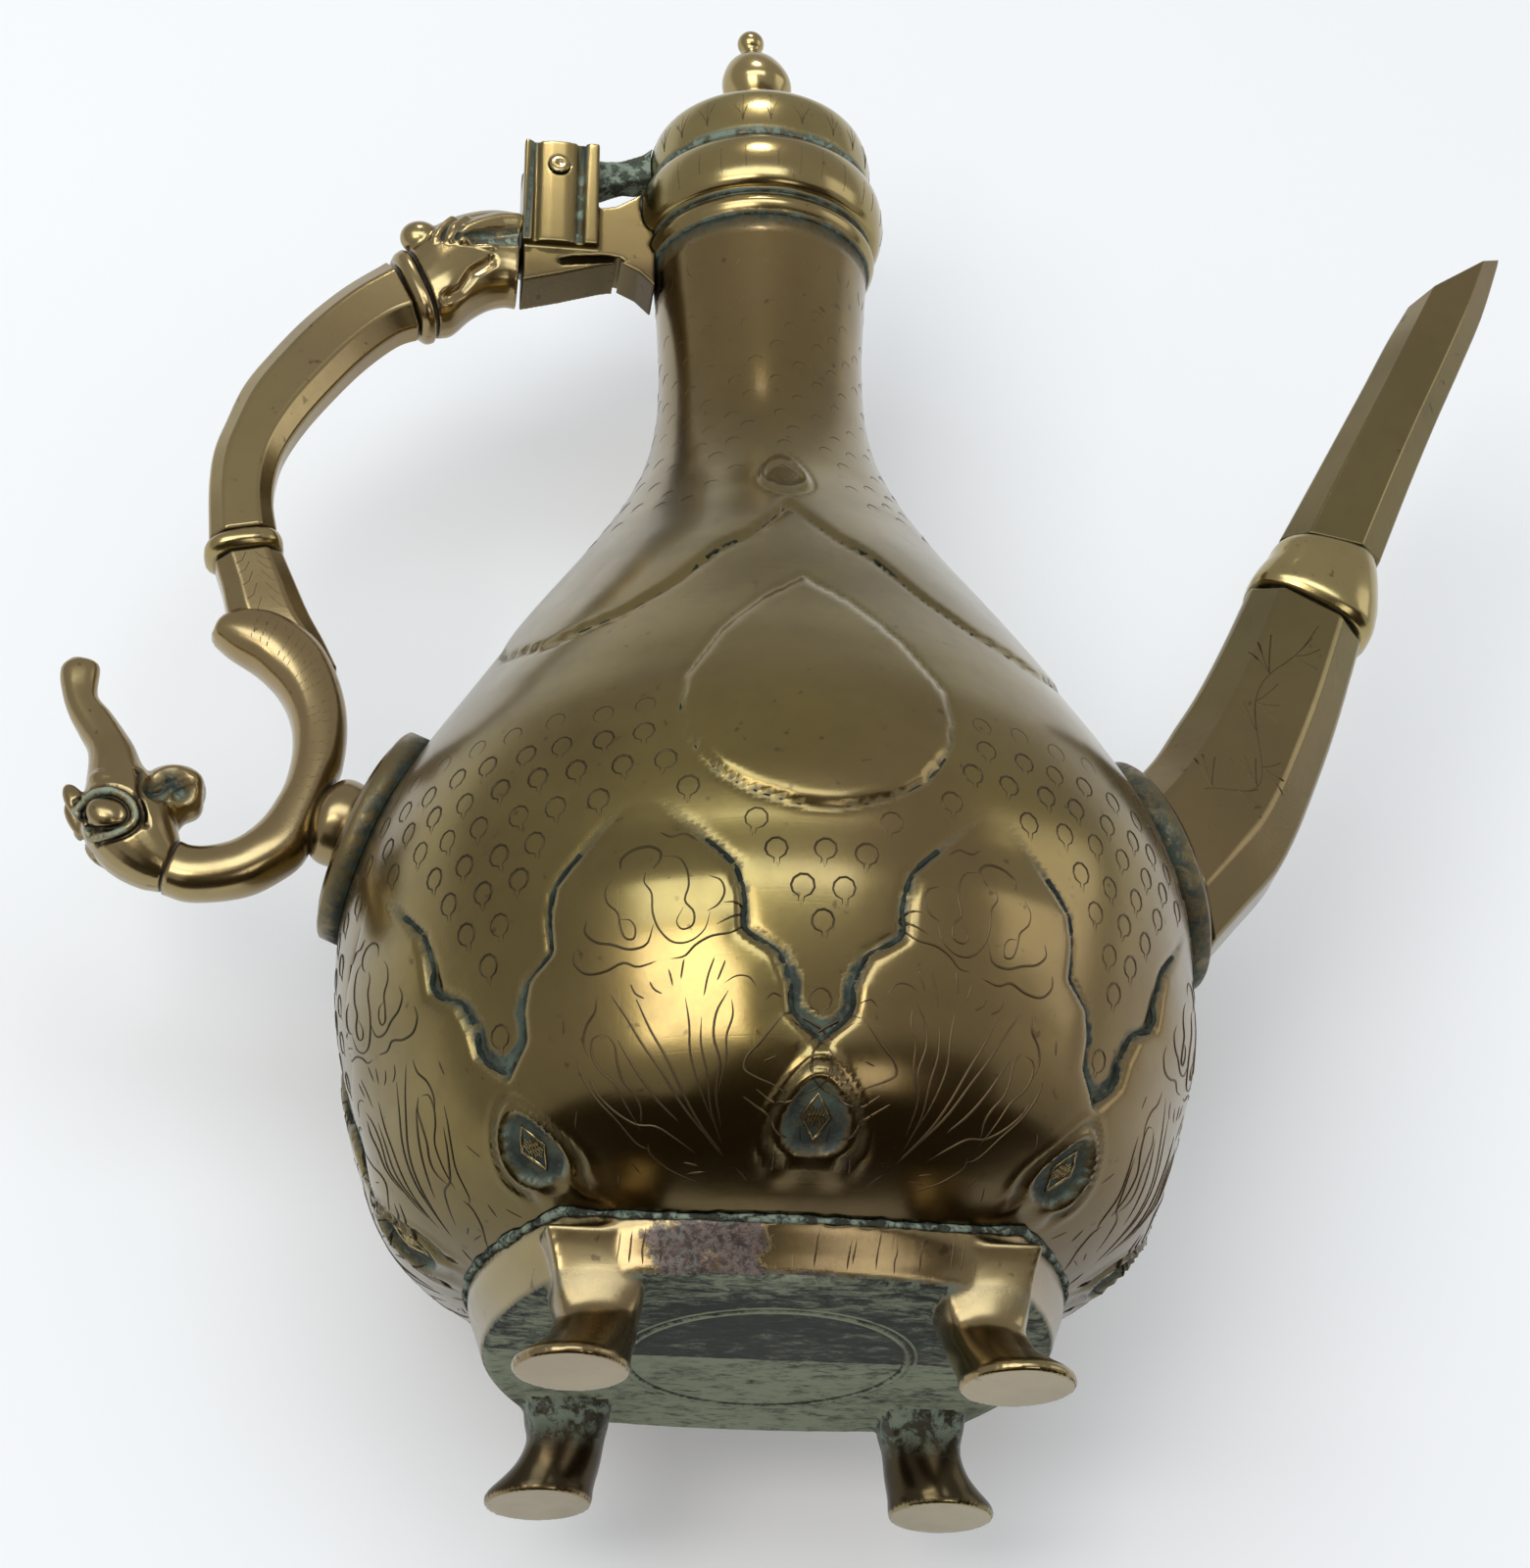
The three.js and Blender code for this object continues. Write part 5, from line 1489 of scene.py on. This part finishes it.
handle = {
    "barTop": [
        (32.6, -23, 25.6, -37.6, 5.6), (40.4, -29.6, 29.6, -39.6, 5.6), (47.7, -37.7, 35.6, -45.6, 5.6),
        (53.7, -46.3, 41.1, -52.9, 5.6),
    ],
    "barLow": [
        (26.4, 92.2, 14.4, 85.5, 5.6), (29.1, 84, 17.9, 78.1, 5.6), (30.9, 77.3, 19.1, 72.5, 5.6),
        (31.3, 69.5, 19.3, 67, 5.6), (30.5, 57.6, 18.2, 60.4, 5.6),
    ],
    "ring": [(30.4, 57.2, 18.2, 60, 5.6), (31.3, 55.9, 17.3, 59.3, 6.5), (31, 54.4, 16.8, 57.7, 6.5),
             (29.6, 53.6, 16.9, 56.5, 5.6)],
    "tail": [(29.2, 53.2, 17, 56.1, 5.3), (27.5, 48, 14.6, 50.6, 5), (25, 40, 11.4, 43.4, 4.6),
             (20, 36, 8.4, 38, 4), (14, 32, 5.6, 32.4, 3.2)],
    "scroll": [
        (28.7, 38.4, 28.4, 37.8, 1.6), (27.2, 41.5, 28, 37.2, 3.6), (23.2, 43.8, 25.2, 34.8, 5),
        (18, 43.5, 20.9, 32.1, 5.8), (13.1, 41.1, 18.3, 29.7, 5.8), (9.3, 37.7, 16.3, 27.4, 5.8),
        (6.5, 33.1, 14.6, 24.5, 5.8), (4, 26, 13.4, 20.9, 5.8), (3.2, 20.1, 12.9, 17.4, 5.8),
        (3.6, 13, 13, 12.9, 5.8), (4.7, 9.4, 13.8, 8.2, 5.8), (6.8, 1.9, 15.4, 4.2, 5.8),
        (9.5, -5.9, 17.4, 0.7, 5.8), (13.3, -9.6, 19.8, -2.1, 5.8), (18.1, -12.7, 22.7, -4.1, 5.4),
        (24, -14.4, 26.6, -5.2, 5), (30, -14.8, 29.3, -5.2, 4.8), (34, -13.6, 30.8, -4.6, 4.7),
    ],
    "head": [
        (34.4, -13.3, 31.2, -4.2, 5), (38.6, -12.4, 31.6, -2.6, 6.2), (44.6, -8.8, 32.6, 1.4, 7.8),
        (49, -1.8, 35, 6, 8), (48.6, 6.2, 38.6, 10, 6.2), (48.8, 12.9, 40.6, 14.2, 4.6),
        (50.7, 16.6, 42.6, 17.3, 3.8), (52.9, 20.6, 45.1, 20.8, 3.2), (54.4, 25, 47.9, 24.4, 2.8),
        (55, 29.8, 48, 30.2, 2.9), (53.6, 31.6, 48.6, 31, 2.2),
    ],
    "ear": [(39, 4, 32, -2, 4), (38.2, 8.6, 30.6, 0.4, 6), (35, 10.4, 28.8, 1.4, 6.2),
            (31.2, 10.3, 28, 2.6, 5.6),
            (28.4, 8.6, 27.8, 4.2, 4.2), (27.4, 6.4, 28.2, 4.6, 2.4)],
}


def makeHandle():
    stations = placed(pin, -1, handle["barTop"]) + placed(handleSeat, -1, handle["barLow"])
    finishPiece(barMesh(stations, 48, octagon), "handle_arm", handleBrass, ["handle_bar"], 0.7)
    bead = barMesh(placed(handleSeat, -1, handle["ring"]), 12, roundSection(24, 0.7))
    finishPiece(bead, "handle_bead", goldBrass, ["handle_ring"])
    stations = placed(handleSeat, -1, handle["tail"])
    leaf = barMesh(stations, 20, octagon)
    leaf = finishPiece(leaf, "handle_leaf", handleBrass, ["handle_tail"], 0.6)
    veins = []
    for i in range(5):
        share = 0.04 + 0.09 * i
        for way in (-1, 1):
            veins.append([alongBar(stations, share, way * 0.12), alongBar(stations, share + 0.07, way * 0.3),
                          alongBar(stations, share + 0.09, way * 0.48)])
    engrave("leaf_engraving", projected(leaf, veins, 0.15))
    stations = placed(handleSeat, -1, handle["scroll"])
    curl = barMesh(stations, 72, roundSection(24, 0.8))
    curl = finishPiece(curl, "handle_curl", handleBrass, ["handle_scroll"])
    dashes = []
    for i in range(24):
        share = 0.16 + 0.022 * i
        for row in range(5):
            start = share + random.uniform(-0.003, 0.003)
            across = 0.42 - 0.19 * row
            dashes.append([alongBar(stations, start, across),
                           alongBar(stations, start + 0.002, across - 0.13)])
            if i % 4 == 3:
                break
    engrave("scroll_engraving", projected(curl, dashes, 0.14))


def makeTerminalHead():
    bm = bmesh.new()
    addBar(bm, placed(handleSeat, -1, handle["head"]), 48, roundSection(24, 0.9))
    addBar(bm, placed(handleSeat, -1, handle["ear"]), 16, roundSection(20))
    for side in (-1, 1):
        addBlob(bm, handleSeat + Vector((-44.2, side * 6.2, -2.4)), (3.7, 2.4, 2.9), 0.5)
        addBlob(bm, handleSeat + Vector((-49.6, side * 3.2, 1)), (1.9, 1.4, 4.2), -0.55)
        addBlob(bm, handleSeat + Vector((-43.6, side * 3.6, 4.6)), (4.6, 3.6, 2.4), 0.3)
    bm = fused(bm, 0.34, 3)
    eye = handleSeat + Vector((-44.2, 0, -2.4))
    turns = [math.tau * i / 20 for i in range(21)]
    cuts = []
    # the grooves round the eye and the crease before the ear are darkened as painted shade and grime
    rings = ((1, 0.8, 0.7, "grime"), (1.32, 1, -0.8, "bloom"), (1.6, 0.7, 0.5, "grime"))
    for reach, width, depth, mark in rings:
        ring = [(eye.x + 4 * reach * math.cos(t) - 0.9 * math.sin(t), eye.z + 3.1 * reach * math.sin(t))
                for t in turns]
        cuts.append((ring, width, depth, mark))
    # the ear's hollow with its pale floor, the crease before it and the tip of the trunk
    for middle, line, width, depth, *marks in (
        ((-33.6, 4.6), [(-2.6, -1.6), (0, 1.6), (2.4, -1)], 3.1, 2.4, "crust"),
        ((-33.6, 4.6), [(-1, -2), (2, -1)], 1.6, 0.5, "bloom"),
        ((-33.6, 4.6), [(-5.6, 2), (-5, -4), (-3.6, -9)], 1.2, 0.6, "grime"),
        ((-51.4, 31), [(0.6, 2), (-0.2, -1.4)], 1.5, 1.1),
    ):
        spot = handleSeat + Vector((middle[0], 0, middle[1]))
        cuts.append(([(spot.x + x, spot.z + z) for x, z in line], width, depth, *marks))
    carveAll(bm, cuts)
    print("terminal head:", len(bm.faces), "faces")
    return finishPiece(bm, "beast_mask", handleBrass, ["terminal_head"])


boss = {"radius": 8, "length": 6.9}


def seated(bm, place, turn):
    bmesh.ops.rotate(bm, cent=(0, 0, 0), matrix=Matrix.Rotation(turn, 3, "Y"), verts=bm.verts)
    bmesh.ops.translate(bm, vec=place, verts=bm.verts)
    return bm


def makeBoss():
    radius, length = boss["radius"], boss["length"]
    drum = softProfile([(radius - 1.2, 0.3), (radius - 0.4, 1.4), (radius, 3), (radius, 5),
                        (radius - 0.7, length - 0.4), (radius / 2, length + 2)], 28)
    bm = seated(spun([(0, 0.3)] + drum + [(0, length + 2)], 56), handleSeat, handleTurn)
    return finishPiece(bm, "handle_knob", handleBrass, ["handle_boss"])


def slideToBody(verts, turn):
    # moves the back of a pad along its axis until it lies on the body
    axis = Matrix.Rotation(turn, 3, "Y") @ Vector((0, 0, 1))
    for vert in verts:
        low, high = -20.0, 6.0
        start = vert.co.copy()
        for _ in range(16):
            half = (low + high) / 2
            spot = start + axis * half
            inside = math.hypot(spot.x, spot.y) < radiusAt(spot.z) + 0.1
            low, high = (half, high) if inside else (low, half)
        vert.co = start + axis * high


def makePad(name, nodeName, rim, hole, radius, place, turn):
    backs = [(hole + (radius - hole) * share, -3) for share in (1, 0.75, 0.5, 0.25, 0)]
    bm = spun([(hole, 0)] + [(radius - inward, height) for inward, height in rim] + backs, 96)
    crustLayer, = markLayers(bm, "crust")
    backVerts = [vert for vert in bm.verts if vert.co.z < -2.9]
    for vert in bm.verts:
        vert[crustLayer] = 0.8 * (1 - ramp(-2.6, -1.1, vert.co.z))
    seated(bm, place, turn)
    slideToBody(backVerts, turn)
    return finishPiece(bm, name, bodyBrass, [nodeName])


def makePads():
    # each rim as (distance in from the edge, height)
    makePad("handle_plate", "handle_pad", [(3.4, 0), (2.6, -0.3), (2.2, -0.9), (0.5, -1.1), (0, -1.5)],
            0, 20, handleSeat, handleTurn)
    makePad("spout_plate", "spout_pad",
            [(3.8, 0), (2.5, -0.2), (1.9, -1.2), (1.2, -1.2), (0.5, -1.3), (0, -1.9)],
            7, 22, spoutSeat, spoutTurn)


makeDragonHead()
makeDragonCollar()
makeHandle()
makeTerminalHead()
makeBoss()
makePads()


# Spout

spout = {
    "wall": 2.2,
    "lower": [(-5.5, 15.4, 7.5, -16.7, 13.5), (-0.6, 21.4, 14.5, -8.4, 13), (3.6, 28.2, 20.8, -0.8, 12.2),
              (7, 33.6, 24.6, 6, 11.8), (10.5, 39.9, 28, 13.6, 11.4), (15.6, 50.1, 34.2, 29, 10.6),
              (20.4, 60.4, 41.3, 49.8, 9.8)],
    "ring": [(20.6, 61.2, 41.6, 50.4, 9.7), (21, 62.8, 43.6, 51.4, 10.6), (22.6, 65.4, 45, 55, 10.8),
             (24.4, 67.6, 45.6, 59, 10.6), (26, 70.4, 46, 63.6, 10), (26.9, 71.2, 46, 67.4, 9.3)],
    "upper": [(27.2, 71.8, 46.6, 68, 8.4), (33.2, 83, 54, 85.5, 8), (40.1, 96, 61, 101.3, 7.7),
              (47.1, 109.2, 67.8, 115.9, 7.5), (52.9, 120.4, 73.6, 128.9, 7.4),
              (58.4, 130, 78.9, 143.6, 6.6)],
}


def makeVines(stations):
    # a wandering stem with forked leaves on each side face
    lines = []
    stem = []
    for i in range(25):
        share = 0.2 + 0.72 * i / 24
        stem.append(alongBar(stations, share, 0.28 * math.sin(11 * share)))
        if i % 3 == 1:
            way = 1 if i % 2 else -1
            for reach, lean in ((0.34, 0.05), (0.2, 0.09), (0.4, 0.012)):
                middle = 0.28 * math.sin(11 * share)
                lines.append([alongBar(stations, share + lean * t, middle + way * reach * t ** 0.8)
                              for t in (0, 0.3, 0.6, 0.85, 1)])
    return lines + [stem[:9], stem[8:17], stem[16:]]


def makeSpout():
    bm = tubeMesh(placed(spoutSeat, 1, spout["lower"]), 40, octagon, spout["wall"])
    axis = Matrix.Rotation(spoutTurn, 3, "Y") @ Vector((0, 0, 1))
    cut = bmesh.ops.bisect_plane(bm, geom=bm.verts[:] + bm.edges[:] + bm.faces[:], dist=1e-4,
                                 plane_co=spoutSeat + axis * 0.3, plane_no=-axis, clear_outer=True)
    rim = [edge for edge in cut["geom_cut"] if isinstance(edge, bmesh.types.BMEdge)]
    bmesh.ops.bridge_loops(bm, edges=rim)
    root = finishPiece(bm, "spout_root", spoutBrass, ["spout_lower"], 1.4)
    engrave("spout_engraving", projected(root, makeVines(placed(spoutSeat, 1, spout["lower"])), 0.17))
    bm = tubeMesh(placed(spoutSeat, 1, spout["ring"]), 24, roundSection(40, 0.72), spout["wall"] + 1)
    finishPiece(bm, "spout_moulding", goldBrass, ["spout_ring"])
    bm = tubeMesh(placed(spoutSeat, 1, spout["upper"]), 40, octagon, spout["wall"] - 0.3)
    finishPiece(bm, "spout_beak", spoutBrass, ["spout_upper"], 0.7)


makeSpout()


# Camera, lights and backdrop

view = {"azimuth": -0.1326, "elevation": -0.4939, "roll": -0.0067, "distance": 642.71,
        "target": (0.444, 0, 109.53),
        "lens": 81, "sensorHeight": 36}


def makeCamera():
    level = math.cos(view["elevation"])
    back = Vector((math.sin(view["azimuth"]) * level, -math.cos(view["azimuth"]) * level,
                   math.sin(view["elevation"])))
    right = Vector((0, 0, 1)).cross(back).normalized()
    up = back.cross(right)
    c, s = math.cos(view["roll"]), math.sin(view["roll"])
    across, over = right * c + up * s, up * c - right * s
    data = bpy.data.cameras.new("camera")
    data.lens = view["lens"]
    data.sensor_fit = "VERTICAL"
    data.sensor_height = view["sensorHeight"]
    data.clip_start = 0.01
    camera = newObject("camera", data)
    camera.matrix_world = Matrix((
        (across.x, over.x, back.x, 0), (across.y, over.y, back.y, 0), (across.z, over.z, back.z, 0),
        (0, 0, 0, 1),
    ))
    camera.location = (Vector(view["target"]) + back * view["distance"]) * mm
    bpy.context.scene.camera = camera


def makePlane(name, place, facing, width, height, colour, card=False):
    # a flat stage piece that faces a point: a dark card, or the backdrop that is clear from behind
    bm = bmesh.new()
    bmesh.ops.create_grid(bm, x_segments=1, y_segments=1, size=0.5)
    bmesh.ops.scale(bm, vec=(width, height, 1), verts=bm.verts)
    turn = (Vector(facing) - Vector(place)).to_track_quat("Z", "Y").to_matrix()
    bmesh.ops.rotate(bm, cent=(0, 0, 0), matrix=turn, verts=bm.verts)
    bmesh.ops.translate(bm, vec=place, verts=bm.verts)
    plane = newObject(name, newMesh(name, bm))
    material, tree, shader = newMaterial(name)
    output = tree.nodes["Material Output"]
    if card:
        glow = node(tree, "Emission", {"Color": (*colour, 1), "Strength": 1})
        tree.links.new(glow.outputs[0], output.inputs["Surface"])
        plane.visible_camera = plane.visible_shadow = plane.visible_diffuse = False
    else:
        clear = node(tree, "BsdfTransparent")
        behind = node(tree, "NewGeometry").outputs["Backfacing"]
        path = node(tree, "LightPath").outputs
        seen = mathNode(tree, "MAXIMUM", path["Is Camera Ray"], path["Is Glossy Ray"])
        seen = mathNode(tree, "MAXIMUM", seen, path["Is Transmission Ray"])
        connect(tree, shader, {"Base Color": (*colour, 1), "Roughness": 0.9, "Emission Color": (1, 1, 1, 1),
                               "Emission Strength": mathNode(tree, "MULTIPLY", seen, 0.13)})
        both = node(tree, "MixShader", {0: behind, 1: shader.outputs[0], 2: clear.outputs[0]})
        tree.links.new(both.outputs[0], output.inputs["Surface"])
    plane.data.materials.append(material)
    return plane


def makeLamp(name, place, target, width, height, power, colour=(1, 1, 1), spread=180):
    data = bpy.data.lights.new(name, "AREA")
    data.spread = math.radians(spread)
    data.shape = "RECTANGLE"
    data.size, data.size_y = width, height
    data.energy = power
    data.color = colour
    lamp = newObject(name, data)
    lamp.location = place
    lamp.rotation_euler = (Vector(place) - Vector(target)).to_track_quat("Z", "Y").to_euler()
    return lamp


def makeStudio():
    world = bpy.data.worlds.new("studio")
    world.use_nodes = True
    sky = world.node_tree.nodes["Background"]
    connect(world.node_tree, sky, {"Color": (0.80, 0.80, 0.81, 1), "Strength": 0.62})
    bpy.context.scene.world = world
    dark = (0.05, 0.037, 0.024)
    makePlane("backdrop", (0, 0.078, 0.1), (0, -1, 0.1), 5, 5, (0.81, 0.815, 0.82))
    makePlane("low_card", (0.35, -0.75, -0.66), (0.1, -0.05, 0.03), 1.6, 1.1, dark, True)
    makePlane("under_card", (0.1, -0.09, -0.3), (0.1, -0.09, 0), 1.1, 0.32, dark, True)
    makeLamp("key", (-0.22, -1.07, 0.25), (0, 0, 0.05), 1.1, 0.42, 6, (0.84, 0.93, 1))
    makeLamp("glow", (-0.465, -1, -0.14), (0, 0, 0.05), 0.55, 0.25, 3, (1, 0.97, 0.92))
    skirt = makeLamp("skirt", (0.24, -0.64, -0.42), (0, -0.04, 0), 0.24, 0.26, 0.5, (1, 0.98, 0.95))
    skirt.visible_diffuse = False
    makeLamp("side", (1.2, -0.5, 0.35), (0, 0, 0.1), 0.7, 0.7, 1.6, (0.95, 0.97, 1))
    high = makeLamp("high", (-0.02, -0.2, 0.47), (0, -0.01, 0.262), 0.16, 0.05, 0.018, (1, 0.98, 0.95), 16)
    high.visible_diffuse = False
    bpy.context.scene.view_settings.view_transform = "Standard"


makeCamera()
makeStudio()
